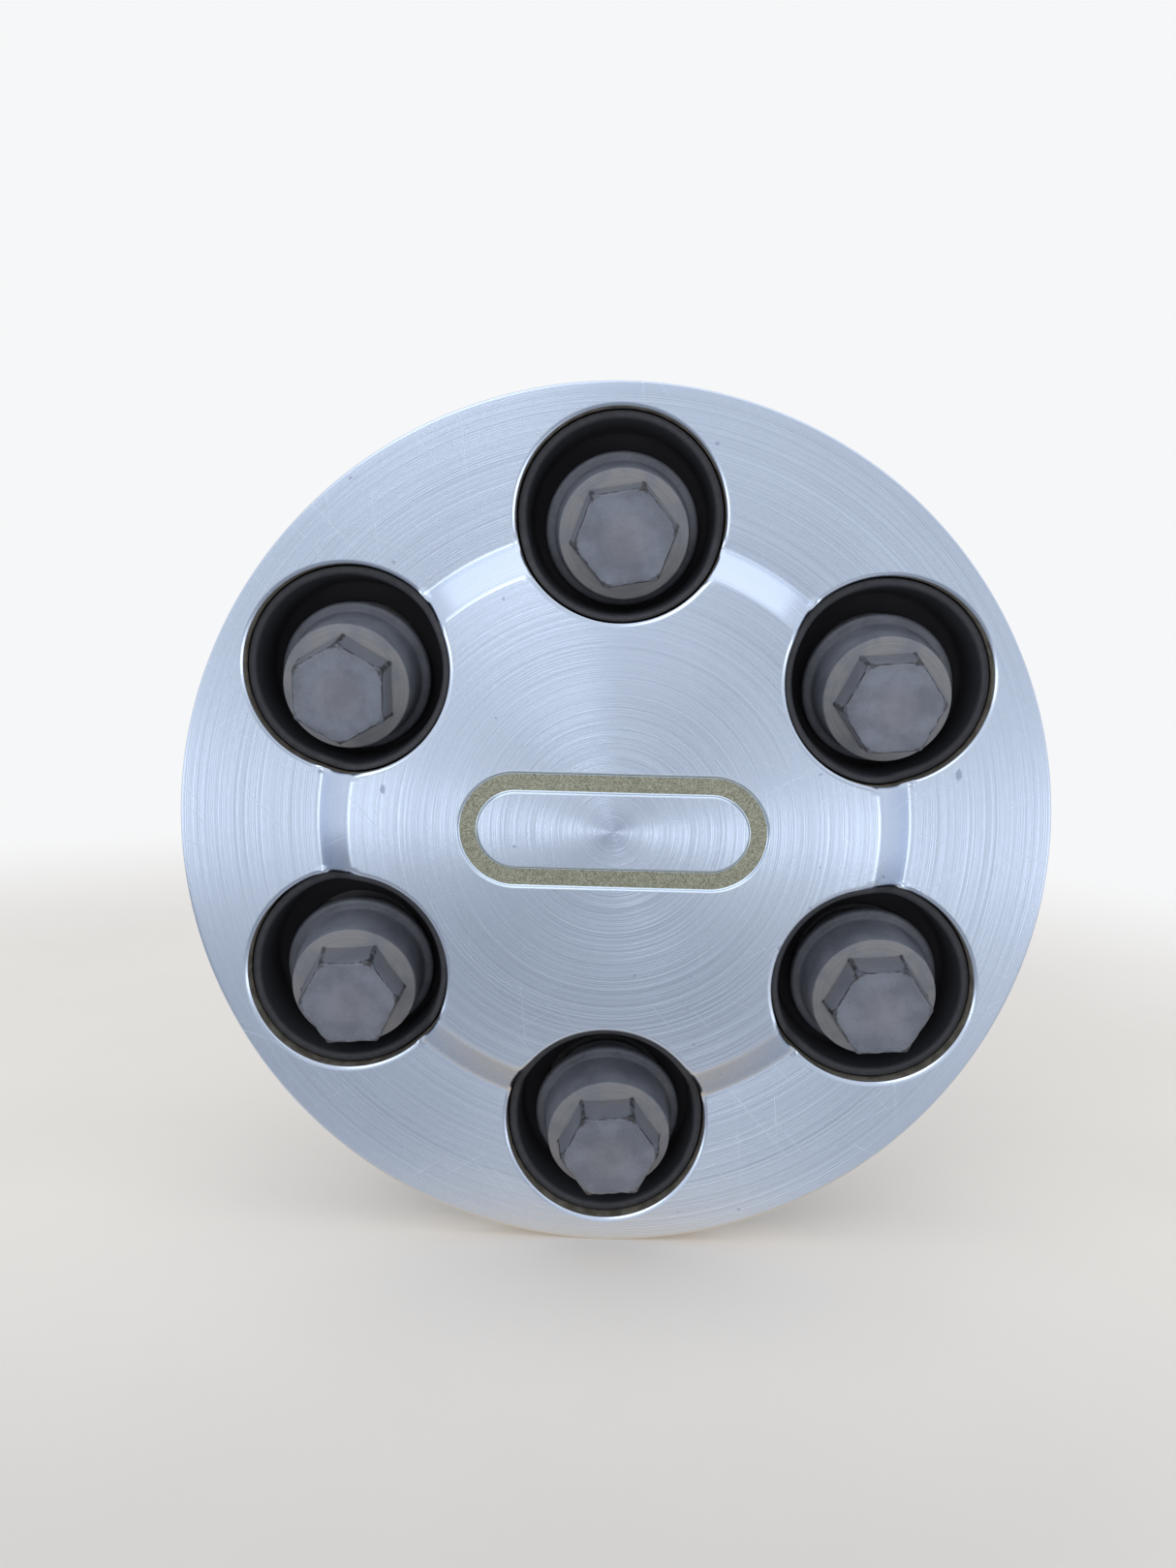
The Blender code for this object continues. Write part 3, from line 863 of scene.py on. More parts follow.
# %% One cup
CUP_COLUMNS = 144
CUP_LIP_DEPTH = 3.0
CUP_FLOOR = 2.5
FLOOR_HOLE_RADIUS = 15.398
POCKET_RADIUS = 20.197
SLEEVE_RADIUS = 23.024
STEM_RADIUS = 21.997
BOSS_RADIUS = 25.774
COLLAR_BACK = 4.7
COLLAR_FRONT = 6.7
CUP_DRAFT = tan(radians(4.5))
LIP_OUTER_ROUND = 0.25
LIP_INNER_ROUND = 0.95
STRAIGHT_START = 4.0
SHADOW_START = 2.5
SHADOW_REACH = 8.0


def mouth_radius(height):
    """The cup's inner radius at a height, which grows with the draft."""
    return POCKET_RADIUS + (height - CUP_FLOOR) * CUP_DRAFT


def cup_outline():
    """Points (radius, height) from the sleeve round the collar and the floor into the pocket."""
    return filleted([
        (SLEEVE_RADIUS, COLLAR_FRONT + STRAIGHT_START, 0.0),
        (SLEEVE_RADIUS, COLLAR_FRONT, 0.4),
        (BOSS_RADIUS, COLLAR_FRONT, 0.4),
        (BOSS_RADIUS, COLLAR_BACK, 0.4),
        (STEM_RADIUS, COLLAR_BACK, 0.5),
        (STEM_RADIUS, 0.0, 0.6),
        (FLOOR_HOLE_RADIUS, 0.0, 0.4),
        (FLOOR_HOLE_RADIUS, CUP_FLOOR, 0.4),
        (POCKET_RADIUS, CUP_FLOOR, 1.2),
        (mouth_radius(CUP_FLOOR + STRAIGHT_START), CUP_FLOOR + STRAIGHT_START, 0.0),
    ], steps=4)[1:]


def cup_rings(lip):
    """Rings (radius, height) of the cup, down its outside, through the floor and up to the lip."""
    ones = np.ones(CUP_COLUMNS)
    rings = []
    for turn in np.linspace(pi / 2, 0.0, 5):
        out = SLEEVE_RADIUS - LIP_OUTER_ROUND * (1 - cos(turn))
        rings.append((out * ones, lip - LIP_OUTER_ROUND * (1 - sin(turn))))
    for share in (0.35, 0.7):
        rings.append((SLEEVE_RADIUS * ones, lip + (COLLAR_FRONT - lip) * share))
    rings += [(radius * ones, height * ones) for radius, height in cup_outline()]
    low = CUP_FLOOR + STRAIGHT_START
    high = lip - LIP_INNER_ROUND
    for share in (0.25, 0.5, 0.75):
        height = low + (high - low) * share
        rings.append((mouth_radius(height), height))
    for turn in np.linspace(0.0, pi / 2, 5):
        height = high + LIP_INNER_ROUND * sin(turn)
        rings.append((mouth_radius(high) + LIP_INNER_ROUND * (1 - cos(turn)), height))
    return rings


def lug_cup():
    """The cup at the top lug position, worn at its lip, with painted shade growing into its depth."""
    angles = np.arange(CUP_COLUMNS) * 2 * pi / CUP_COLUMNS
    middle = SLEEVE_RADIUS - 0.6
    from_axis = np.hypot(middle * np.cos(angles), LUG_RADIUS + middle * np.sin(angles))
    lip = soft_contour(from_axis) - CUP_LIP_DEPTH
    rings = cup_rings(lip)
    points = [
        np.stack([radius * np.cos(angles), LUG_RADIUS + radius * np.sin(angles), height], axis=1)
        for radius, height in rings
    ]
    piece = new_piece("lug_cups", np.concatenate(points), ring_faces(len(rings), CUP_COLUMNS, wrap=True))
    wear = np.zeros(len(rings))
    wear[:2] = (0.5, 0.2)
    wear[-4:] = (0.1, 0.2, 0.35, 0.5)
    # Painted shade from a little below the lip down to the floor.
    deep = [np.clip((lip - SHADOW_START - height) / SHADOW_REACH, 0.0, 1.0) for _, height in rings]
    add_attributes(piece, wear=np.repeat(wear, CUP_COLUMNS), deep=np.concatenate(deep))
    return piece


one_cup = lug_cup()
print("one cup:", len(one_cup.data.polygons), "faces")


# %% Set a piece round the lug circle
class Jig(Recipe):
    """A Geometry Nodes tree with named inputs, which ends in Realize Instances and Set Material."""

    def __init__(self, name, **inputs):
        super().__init__(bpy.data.node_groups.new(name, "GeometryNodeTree"))
        face = self.tree.interface
        for label, kind in {"Geometry": "Geometry", **inputs, "Finish": "Material"}.items():
            face.new_socket(label, in_out="INPUT", socket_type=f"NodeSocket{kind}")
        face.new_socket("Geometry", in_out="OUTPUT", socket_type="NodeSocketGeometry")

    def given(self, label):
        return self.node("NodeGroupInput", output=label)

    def deliver(self, geometry):
        whole = self.node("GeometryNodeRealizeInstances", {}, {"Geometry": geometry})
        finish = self.given("Finish")
        dressed = self.node("GeometryNodeSetMaterial", {}, {"Geometry": whole, "Material": finish})
        self.node("NodeGroupOutput", {}, {"Geometry": dressed}, output=None)

    def make(self, piece, **values):
        """Run the tree on a piece and leave it as a plain mesh."""
        modifier = piece.modifiers.new(self.tree.name, "NODES")
        modifier.node_group = self.tree
        for item in self.tree.interface.items_tree:
            if item.in_out == "INPUT" and item.name in values:
                modifier[item.identifier] = values[item.name]
        return settled(piece)


def lug_circle_jig():
    """Copies of a piece turned round the wheel's axis in equal steps."""
    jig = Jig("lug_circle", Count="Int")
    spots = jig.node("GeometryNodePoints", {}, {"Count": jig.given("Count")})
    turn = jig.node("GeometryNodeInputIndex") * (2 * pi) / jig.given("Count")
    turns = jig.node("ShaderNodeCombineXYZ", {}, {"Y": turn})
    copies = jig.node("GeometryNodeInstanceOnPoints", {}, {
        "Points": spots, "Instance": jig.given("Geometry"), "Rotation": turns,
    })
    jig.deliver(copies)
    return jig


round_the_lugs = lug_circle_jig()
lug_cups = round_the_lugs.make(one_cup, Count=LUG_COUNT, Finish=CUP_BLACK)
print("six cups:", len(lug_cups.data.polygons), "faces")

# %% [markdown]
# ## Nut caps
# Each nut cap is a moulded screw cap: a flange that keeps it in the cup, a barrel, a sloping shoulder
# and a hexagon for the wrench, with a skirt behind the cup's floor. A hexagon joined to a cylinder by a
# boolean has knife edges, so the cap is lofted instead: every ring keeps the same columns, and the
# columns crowd together where the corners of the rounded hexagon are. Noise takes small chips off the
# edges that a wrench meets, a different set on each cap.

# %% Sizes of one cap
FLANGE_RADIUS = 17.4
FLANGE_BACK = 4.483
FLANGE_FRONT = 6.883
BARREL_RADIUS = 15.2
BARREL_TIP = 14.3
BARREL_FRONT = 17.383
SHOULDER_SLOPE = 1.6 / 4.8
HEX_FRONT = 25.883
HEX_TIP_INRADIUS = 10.0
HEX_BASE_INRADIUS = 10.45
HEX_CORNER_ROUND = 0.8
HEX_EDGE_ROUND = 0.65
HEX_DOME = 0.22
HEX_FOOT = 0.55
MOULD_RING_DEPTH = 0.07
MOULD_RING_WIDTH = 0.45
SKIRT_RADIUS = 13.6
SKIRT_END = -8.416
SEAT_RADIUS = 12.6
SEAT_FRONT = -4.216
SEAT_BACK = -6.416
SOCKET_RADIUS = 11.0
SOCKET_TOP = 12.583
NOSE_RADIUS = 7.6
NOSE_START = 14.983
NOSE_TOP = 23.483
HALF_FLAT = radians(30.0)
CORNER_START = radians(24.0)


def cap_columns():
    """Angles of the columns, measured from the middle of a flat, crowded at the corners."""
    sector = np.concatenate([
        np.linspace(-HALF_FLAT, -CORNER_START, 7)[:-1],
        np.linspace(-CORNER_START, CORNER_START, 15),
        np.linspace(CORNER_START, HALF_FLAT, 7)[1:-1],
    ])
    return np.concatenate([sector + 2 * HALF_FLAT * side for side in range(6)])


cap_angles = cap_columns()
off_flat = np.abs((cap_angles + HALF_FLAT) % (2 * HALF_FLAT) - HALF_FLAT)
print("cap columns:", len(cap_angles))


# %% Outline of one cap
def hexagon(inradius):
    """Distance from the axis to a hexagon with rounded corners, in each column."""
    inset = inradius - HEX_CORNER_ROUND
    centre = inset / cos(HALF_FLAT)
    arc_start = atan(inset * tan(HALF_FLAT) / inradius)
    from_corner = HALF_FLAT - off_flat
    arc = centre * np.cos(from_corner)
    arc = arc + np.sqrt(np.maximum(HEX_CORNER_ROUND ** 2 - (centre * np.sin(from_corner)) ** 2, 0.0))
    return np.where(off_flat < arc_start, inradius / np.cos(off_flat), arc)


def shoulder_height(radius):
    return BARREL_FRONT + (BARREL_TIP - radius) * SHOULDER_SLOPE


def hex_rings():
    """Rings (radius, height, wear, dirt, grime) from the middle of the front to the shoulder."""
    ones = np.ones(len(cap_angles))
    tip = hexagon(HEX_TIP_INRADIUS)
    base = hexagon(HEX_BASE_INRADIUS)
    cornered = np.clip((base / HEX_BASE_INRADIUS - 1.07) / 0.06, 0.0, 1.0)
    # grime marks grime and painted shade along the front edge, on the flats and in their foot.
    rings = []
    for share in (0.1, 0.2, 0.3, 0.4, 0.44, 0.48, 0.52, 0.56, 0.65, 0.75, 0.85, 0.94, 1.0):
        radius = share * (tip - HEX_EDGE_ROUND)
        mould_ring = MOULD_RING_DEPTH * np.exp(-((radius - MOULD_RING_RADIUS) / MOULD_RING_WIDTH) ** 2)
        edge = max(0.0, share - 0.85) / 0.15
        height = HEX_FRONT + HEX_DOME * (1 - share ** 2) - mould_ring
        rings.append((radius, height, 0.35 * edge * ones, 0.0 * ones, 0.15 * edge * ones))
    for turn in np.linspace(0.0, pi / 2, 6)[1:]:
        radius = tip - HEX_EDGE_ROUND * (1 - sin(turn))
        height = HEX_FRONT - HEX_EDGE_ROUND * (1 - cos(turn))
        worn = 0.35 + 0.4 * sin(2 * turn) + 0.25 * cornered
        rings.append((radius, height * ones, worn, 0.0 * ones, 0.3 * sin(turn) * ones))
    top = HEX_FRONT - HEX_EDGE_ROUND
    for share in (0.08, 0.18, 0.35, 0.55, 0.75, 0.9, 1.0):
        height = top + (shoulder_height(base) + HEX_FOOT - top) * share
        worn = (0.15 + 0.6 * cornered) * (1 - 0.6 * share)
        rings.append((tip + (base - tip) * share, height, worn, (0.4 + 0.4 * share) * ones, 0.08 * ones))
    for share in (0.25, 0.5, 0.75, 1.0):
        radius = base + HEX_FOOT * share ** 2
        height = shoulder_height(radius) + HEX_FOOT * (1 - share) ** 2
        rings.append((radius, height, 0.0 * ones, (0.7 + 0.2 * share) * ones, 0.5 * (1 - share) * ones))
    return rings


def body_outline():
    """Points (radius, height) from the shoulder round the outside and up into the socket."""
    start = BARREL_TIP - 2.0
    return filleted([
        (start, shoulder_height(start), 0.0),
        (BARREL_TIP, BARREL_FRONT, 0.6),
        (BARREL_RADIUS, FLANGE_FRONT, 0.6),
        (FLANGE_RADIUS, FLANGE_FRONT, 0.9),
        (FLANGE_RADIUS, FLANGE_BACK, 0.6),
        (SKIRT_RADIUS, FLANGE_BACK, 0.4),
        (SKIRT_RADIUS, SEAT_FRONT, 0.2),
        (SEAT_RADIUS, SEAT_FRONT, 0.2),
        (SEAT_RADIUS, SEAT_BACK, 0.2),
        (SKIRT_RADIUS, SEAT_BACK, 0.2),
        (SKIRT_RADIUS, SKIRT_END, 0.5),
        (SOCKET_RADIUS, SKIRT_END, 0.5),
        (SOCKET_RADIUS, SOCKET_TOP, 0.4),
        (NOSE_RADIUS, NOSE_START, 0.4),
        (NOSE_RADIUS, NOSE_TOP, 0.8),
        (0.0, NOSE_TOP, 0.0),
    ], steps=4)[1:-1]


def cap_rings():
    """The rings of the whole cap, as one array for each of radius, height, wear, dirt and grime."""
    rings = hex_rings()
    for radius, height in body_outline():
        at_front = max(0.0, 1.0 - abs(height - BARREL_FRONT) / 0.7) if radius > 13.5 else 0.0
        at_flange = 0.35 if radius > FLANGE_RADIUS - 0.8 else 0.0
        dirt = 0.9 if height > BARREL_FRONT - 0.1 else 0.25
        # Painted shade on the flange and the parts behind it, deep in the cup.
        grime = 0.5 if height < FLANGE_FRONT + 0.3 else 0.0
        ring = (radius, height, max(0.75 * at_front, at_flange), dirt, grime)
        rings.append([np.full(len(cap_angles), value) for value in ring])
    return np.array(rings).transpose(1, 0, 2)


print("rings of a cap:", cap_rings().shape[1])

# %% Where the caps hang, and how their edges chip
CAP_DROOP = radians(9.5)
CAP_SAG = 1.1
PIVOT_HEIGHT = 1.25
CAP_SHARES = (1.0, 1.0, 0.75, 0.95, 1.0, 1.0)
CAP_SIDES = [radians(side) for side in (11.0, 0.0, 16.0, 14.0, 18.0, -5.0)]
CAP_TURNS = [radians(turn) for turn in (40.0, 35.0, 34.0, 34.0, 33.0, 0.0)]
CHIPPED_FROM = 0.3
CHIP_PULL = 0.6


def hung(number, turn=0.0):
    """Where a loose cap hangs in its cup, as a matrix in millimetres of the row frame."""
    share, side = CAP_SHARES[number], CAP_SIDES[number]
    x, y = LUG_CENTRES[number] + CAP_SAG * share * np.array((sin(side), -cos(side)))
    return (
        Matrix.Rotation(pi / 2, 4, "X") @ Matrix.Translation((x, y, PIVOT_HEIGHT))
        @ Matrix.Rotation(side, 4, "Z") @ Matrix.Rotation(CAP_DROOP * share, 4, "X")
        @ Matrix.Rotation(turn, 4, "Z")
    )


def carried(points, matrix):
    return (np.asarray(points) @ np.array(matrix.to_3x3()).T + np.array(matrix.translation)) * MM


def chip_depth(point, seed):
    """How much of an edge a wrench has taken off at a point."""
    bite = noise.noise(Vector(point) * 0.42 + Vector((seed * 17.3, seed * 5.1, 0.0)))
    nibble = noise.noise(Vector(point) * 1.5 + Vector((0.0, seed * 9.7, seed * 3.3)))
    return max(0.0, bite - 0.12) * 1.1 + max(0.0, nibble - 0.25) * 0.35


def chip(points, wear, seed):
    """Pull worn points of the hexagon in, and mark them as more worn."""
    for index in np.flatnonzero(wear > CHIPPED_FROM):
        x, y, height = points[index]
        taken = chip_depth((x, y, height), seed) * min(1.0, (wear[index] - CHIPPED_FROM) * 2.0)
        shrink = 1 - CHIP_PULL * taken / sqrt(x * x + y * y)
        points[index] = (x * shrink, y * shrink, height - CHIP_PULL * taken)
        wear[index] = min(1.0, wear[index] + taken)


print("caps droop", np.degrees(CAP_DROOP * np.array(CAP_SHARES)).round(1).tolist(), "degrees")

# %% The six caps in place
# Numbers of rings: the last of the flat front, the first of the flats and of their foot, and the end
EDGE_RING = 12
SIDE_RING = 18
FOOT_RING = 25
SHOULDER_RING = 29


def caked_seams():
    """How dark each ring is painted: caked dirt at the corners, and a dark line along the front edge."""
    at_corner = np.clip((np.degrees(off_flat) - 25.0) / 3.5, 0.0, 1.0)
    by_corner = np.clip((np.degrees(off_flat) - 19.0) / 8.0, 0.0, 1.0)
    for ring in range(EDGE_RING, SHOULDER_RING):
        along_edge = 0.8 if EDGE_RING + 2 <= ring <= EDGE_RING + 4 else 0.0
        torn = by_corner * 0.85 if ring <= SIDE_RING else 0.0
        faded = 1.0 if ring <= FOOT_RING else (SHOULDER_RING - ring) / 4
        yield ring, np.maximum(np.maximum(at_corner * faded, torn), along_edge)


def nut_cap(number):
    radius, height, wear, dirt, grime = cap_rings()
    ring_count, count = radius.shape
    points = np.stack([radius * np.cos(cap_angles), radius * np.sin(cap_angles), height], axis=-1)
    points = points.reshape(-1, 3)
    wear = wear.ravel()
    chipped = slice(FOOT_RING * count)
    chip(points[chipped], wear[chipped], number + 1)
    seam = np.zeros((ring_count, count))
    for ring, caked in caked_seams():
        seam[ring] = caked
    lathe = np.zeros((ring_count, count))
    lathe[FOOT_RING + 1:SHOULDER_RING + 3] = 1.0
    points = np.concatenate([points, [(0.0, 0.0, HEX_FRONT + HEX_DOME), (0.0, 0.0, NOSE_TOP)]])
    place = hung(number, CAP_TURNS[number] - CAP_SIDES[number])
    piece = new_piece(
        f"worn_cap_{number + 1}", points, poled_faces(ring_count, count), (CHARCOAL,),
        MOULDED_SHARP, lambda loose: carried(loose, place),
    )
    clean = (0.0, 0.0)
    add_attributes(
        piece,
        wear=np.append(wear, clean), dirt=np.append(dirt, (0.0, 0.5)), grime=np.append(grime, clean),
        seam=np.append(seam, clean), lathe=np.append(lathe, clean),
        off_axis=np.hypot(points[:, 0], points[:, 1]), front=points[:, 2] > HEX_FRONT - 1.0,
    )
    return piece


worn_caps = [nut_cap(number) for number in range(LUG_COUNT)]
print("each cap:", len(worn_caps[0].data.polygons), "faces")

# %% [markdown]
# ## Retaining rings and threads
# Behind each cup's floor a split steel ring holds the cap, and inside the cap a thread grips the nut.
# Both are a small section swept along a path, which is what Curve to Mesh does: an arc with a gap makes
# the ring, and a spiral makes the thread.

# %% Jigs for a split ring and a thread
def split_ring_jig():
    jig = Jig("split_ring", Middle="Float", Width="Float", Thickness="Float", Gap="Float", Edge="Float")
    path = jig.node("GeometryNodeCurveArc", {}, {
        "Resolution": 120, "Radius": jig.given("Middle"),
        "Start Angle": jig.given("Gap") / 2 - pi / 2, "Sweep Angle": 2 * pi - jig.given("Gap"),
    })
    section = jig.node("GeometryNodeCurvePrimitiveQuadrilateral", {}, {
        "Width": jig.given("Width"), "Height": jig.given("Thickness"),
    })
    rounded = jig.node("GeometryNodeFilletCurve", {"mode": "POLY"}, {
        "Curve": section, "Count": 3, "Radius": jig.given("Edge"), "Limit Radius": True,
    })
    jig.deliver(jig.node("GeometryNodeCurveToMesh", {}, {
        "Curve": path, "Profile Curve": rounded, "Fill Caps": True,
    }))
    return jig


def thread_jig():
    jig = Jig("thread", Radius="Float", Turns="Float", Rise="Float", Ridge="Float")
    path = jig.node("GeometryNodeCurveSpiral", {}, {
        "Resolution": 48, "Rotations": jig.given("Turns"), "Start Radius": jig.given("Radius"),
        "End Radius": jig.given("Radius"), "Height": jig.given("Rise"),
    })
    section = jig.node("GeometryNodeCurvePrimitiveCircle", {}, {
        "Resolution": 6, "Radius": jig.given("Ridge"),
    })
    jig.deliver(jig.node("GeometryNodeCurveToMesh", {}, {
        "Curve": path, "Profile Curve": section, "Fill Caps": True,
    }))
    return jig


split_ring = split_ring_jig()
thread = thread_jig()
print("jigs:", split_ring.tree.name, thread.tree.name)

# %% A split ring and a thread for every cap
RING_BORE = 12.9
RING_RADIUS = 17.598
RING_FRONT = -4.516
RING_THICKNESS = 1.6
RING_SLOT = 6.0
RING_EDGE = 0.35
THREAD_PITCH = 2.0
THREAD_TURNS = 8.5
THREAD_START = -7.0
THREAD_RIDGE = 0.8
THREAD_SINK = 0.1


def grown(name, jig, matrix, lift, **values):
    """Piece that a jig makes from nothing, lifted along its axis and hung in its place."""
    piece = new_piece(name, np.zeros((0, 3)), [])
    jig.make(piece, **values)
    place = Matrix.Scale(MM, 4) @ matrix
    piece.data.transform(place @ Matrix.Translation((0.0, 0.0, lift)) @ Matrix.Scale(1 / MM, 4))
    smooth(piece.data, MOULDED_SHARP)
    return piece


split_rings = []
threads = []
for number in range(LUG_COUNT):
    middle = (RING_BORE + RING_RADIUS) / 2
    split_rings.append(grown(
        f"split_ring_{number + 1}", split_ring, hung(number), RING_FRONT - RING_THICKNESS / 2,
        Middle=middle * MM, Width=(RING_RADIUS - RING_BORE) * MM, Thickness=RING_THICKNESS * MM,
        Gap=RING_SLOT / middle, Edge=RING_EDGE * MM, Finish=STEEL,
    ))
    threads.append(grown(
        f"cap_thread_{number + 1}", thread, hung(number), THREAD_START,
        Radius=(SOCKET_RADIUS + THREAD_SINK) * MM, Turns=THREAD_TURNS,
        Rise=THREAD_PITCH * THREAD_TURNS * MM, Ridge=THREAD_RIDGE * MM, Finish=CHARCOAL,
    ))
print("split ring:", len(split_rings[0].data.polygons), "faces; thread:", len(threads[0].data.polygons))

# %% [markdown]
# ## The backing
# Behind the face sits a moulded black shell with a hub ring, a boss round every lug hole and ribs
# between them. One boss, one rib and one hole are lofted and set round by the same jig as the cups.
# Here booleans are the right tool: they join ribs and bosses to the shell. Every edge is rounded before
# it is joined, because a bevel after a boolean trips over the short edges that the cut leaves.

# %% The shell
BACKING_RADIUS = 95.924
BACKING_FRONT_DEPTH = 4.3
BACKING_BACK_DEPTH = 6.8
BACKING_MIDDLE_DEPTH = 5.5
BACKING_COLUMNS = 180
BOSS_BACK = 7.0
HUB_RING_RADIUS = 36.0
RIB_THICKNESS = 2.2


def shell_corners(depth):
    return [
        (HUB_RADIUS, HUB_HEIGHT - depth, 2.0),
        (VALLEY_RADIUS, VALLEY_HEIGHT - depth, 2.0),
        (BACKING_RADIUS, contour(BACKING_RADIUS) - depth, 0.4),
    ]


def backing_shell():
    """Closed shell with its hub ring, turned round the wheel's axis."""
    middle = HUB_HEIGHT + HUB_CROWN
    under = middle - BACKING_BACK_DEPTH
    outline = filleted([
        (0.0, middle - BACKING_FRONT_DEPTH, 0.0),
        *shell_corners(BACKING_FRONT_DEPTH),
        *reversed(shell_corners(BACKING_BACK_DEPTH)),
        (HUB_RING_RADIUS + RIB_THICKNESS, under, 0.8),
        (HUB_RING_RADIUS + RIB_THICKNESS, BOSS_BACK, 0.5),
        (HUB_RING_RADIUS, BOSS_BACK, 0.5),
        (HUB_RING_RADIUS, under, 0.8),
        (0.0, under, 0.0),
    ], steps=4)
    rings = outline[1:-1]
    points = [level_circle(0.0, 0.0, *ring, BACKING_COLUMNS) for ring in rings]
    points.append([(0.0, 0.0, outline[0][1]), (0.0, 0.0, outline[-1][1])])
    return new_piece("moulded_backing", np.concatenate(points), poled_faces(len(rings), BACKING_COLUMNS))


shell = backing_shell()
print("shell:", len(shell.data.polygons), "faces")

# %% One boss, one rib and one lug hole
RIB_BACK = 8.0
MOULDED_EDGE = 0.5
BOSS_COLUMNS = 120
BOSS_OVERLAP = 0.6
CUT_TOP = 40.0
CUT_BOTTOM = -20.0


def moulded_edge(side, back):
    """Quarter round (side, height) from a wall to the underside at its back."""
    turns = np.linspace(0.0, pi / 2, 5)
    return [(side - MOULDED_EDGE * (1 - cos(t)), back + MOULDED_EDGE * (1 - sin(t))) for t in turns]


def boss():
    """Ring round the top lug hole, whose top lies within the shell."""
    inner = LUG_HOLE_RADIUS - BOSS_OVERLAP
    section = [(BOSS_RADIUS, None), *moulded_edge(BOSS_RADIUS, BOSS_BACK), (inner, BOSS_BACK), (inner, None)]
    points = []
    for radius, level in section:
        ring = circle(0.0, LUG_RADIUS, radius, BOSS_COLUMNS)
        top = contour(np.hypot(*ring.T)) - BACKING_MIDDLE_DEPTH
        points.append(np.column_stack([ring, top if level is None else np.full(BOSS_COLUMNS, level)]))
    return new_piece("bosses", np.concatenate(points), ring_faces(len(section), BOSS_COLUMNS, wrap=True))


def rib():
    """Slab midway between two lug holes, from the hub ring to the rim."""
    stations = np.linspace(HUB_RING_RADIUS + RIB_THICKNESS / 2, BACKING_RADIUS - RIB_THICKNESS, 60)
    top = contour(stations) - BACKING_MIDDLE_DEPTH
    half = RIB_THICKNESS / 2
    across, along = Vector((-sin(pi / 3), cos(pi / 3))), Vector((cos(pi / 3), sin(pi / 3)))
    edge = moulded_edge(half, RIB_BACK)
    edge += [(-side, level) for side, level in reversed(edge)]
    points = []
    for radius, height in zip(stations, top):
        for side, level in ((half, height), *edge, (-half, height)):
            x, y = along * radius + across * side
            points.append((x, y, level))
    corners = len(edge) + 2
    faces = ring_faces(len(stations), corners)
    faces.append(tuple(range(corners)))
    faces.append(tuple(reversed(range(len(points) - corners, len(points)))))
    return new_piece("ribs", points, faces)


def lug_hole():
    """Plug that cuts the top lug hole, wider behind the boss so that the hole's edge is eased."""
    flared = LUG_HOLE_RADIUS + MOULDED_EDGE
    section = (
        (LUG_HOLE_RADIUS, CUT_TOP), (LUG_HOLE_RADIUS, BOSS_BACK + MOULDED_EDGE),
        (flared, BOSS_BACK), (flared, CUT_BOTTOM),
    )
    points = [level_circle(0.0, LUG_RADIUS, radius, level, BOSS_COLUMNS) for radius, level in section]
    last = (len(section) - 1) * BOSS_COLUMNS
    faces = ring_faces(len(section), BOSS_COLUMNS)
    faces += [tuple(range(BOSS_COLUMNS)), tuple(reversed(range(last, last + BOSS_COLUMNS)))]
    return new_piece("lug_holes", np.concatenate(points), faces)


helpers = ((boss(), "UNION"), (rib(), "UNION"), (lug_hole(), "DIFFERENCE"))
print("joined to the shell:", [helper.name for helper, _ in helpers])

# %% Join them
WELD = 0.03


def outward(piece):
    """Point every face of a closed piece outwards."""
    shape = bmesh.new()
    shape.from_mesh(piece.data)
    bmesh.ops.recalc_face_normals(shape, faces=shape.faces)
    shape.to_mesh(piece.data)
    shape.free()
    return piece


def welded(mesh, distance):
    """Join points closer than a distance, and drop the slivers between them."""
    shape = bmesh.new()
    shape.from_mesh(mesh)
    bmesh.ops.remove_doubles(shape, verts=shape.verts, dist=distance)
    bmesh.ops.dissolve_degenerate(shape, edges=shape.edges, dist=distance)
    shape.to_mesh(mesh)
    shape.free()


def combine(piece, operation, other):
    modifier = piece.modifiers.new(other.name, "BOOLEAN")
    modifier.operation = operation
    modifier.solver = "EXACT"
    modifier.object = other


def moulded_backing():
    outward(shell)
    shell.data.materials.append(BACKING_BLACK)
    for helper, operation in helpers:
        round_the_lugs.make(outward(helper), Count=LUG_COUNT, Finish=BACKING_BLACK)
        combine(shell, operation, helper)
    settled(shell)
    welded(shell.data, WELD * MM)
    smooth(shell.data, MOULDED_SHARP)
    for helper, _ in helpers:
        bpy.data.objects.remove(helper)
    return shell


backing = moulded_backing()
print("backing:", len(backing.data.polygons), "faces")

# %% [markdown]
# ## Every piece on its body
# The cups, face and backing stay on the cover. A split ring tilts with its cap, and the cap also spins
# in it, with its thread. Each new piece stands for the solid that it replaces.

# %% Ride and replace
for piece, slot, nodes in (
    (turned_face, "face_aluminium", ["face_plate"]),
    (backing, "backing_plastic", ["backing_plate"]),
    (lug_cups, "cup_plastic", [f"lug_cup_{number + 1}" for number in range(LUG_COUNT)]),
):
    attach(piece, "cover")
    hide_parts(*nodes)
for number in range(LUG_COUNT):
    label = number + 1
    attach(worn_caps[number], f"cap_{label}")
    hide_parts(f"nut_cap_{label}")
    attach(threads[number], f"cap_{label}")
    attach(split_rings[number], f"retainer_{label}")
    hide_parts(f"retaining_ring_{label}")
print("riding:", 3 + 3 * LUG_COUNT, "pieces")

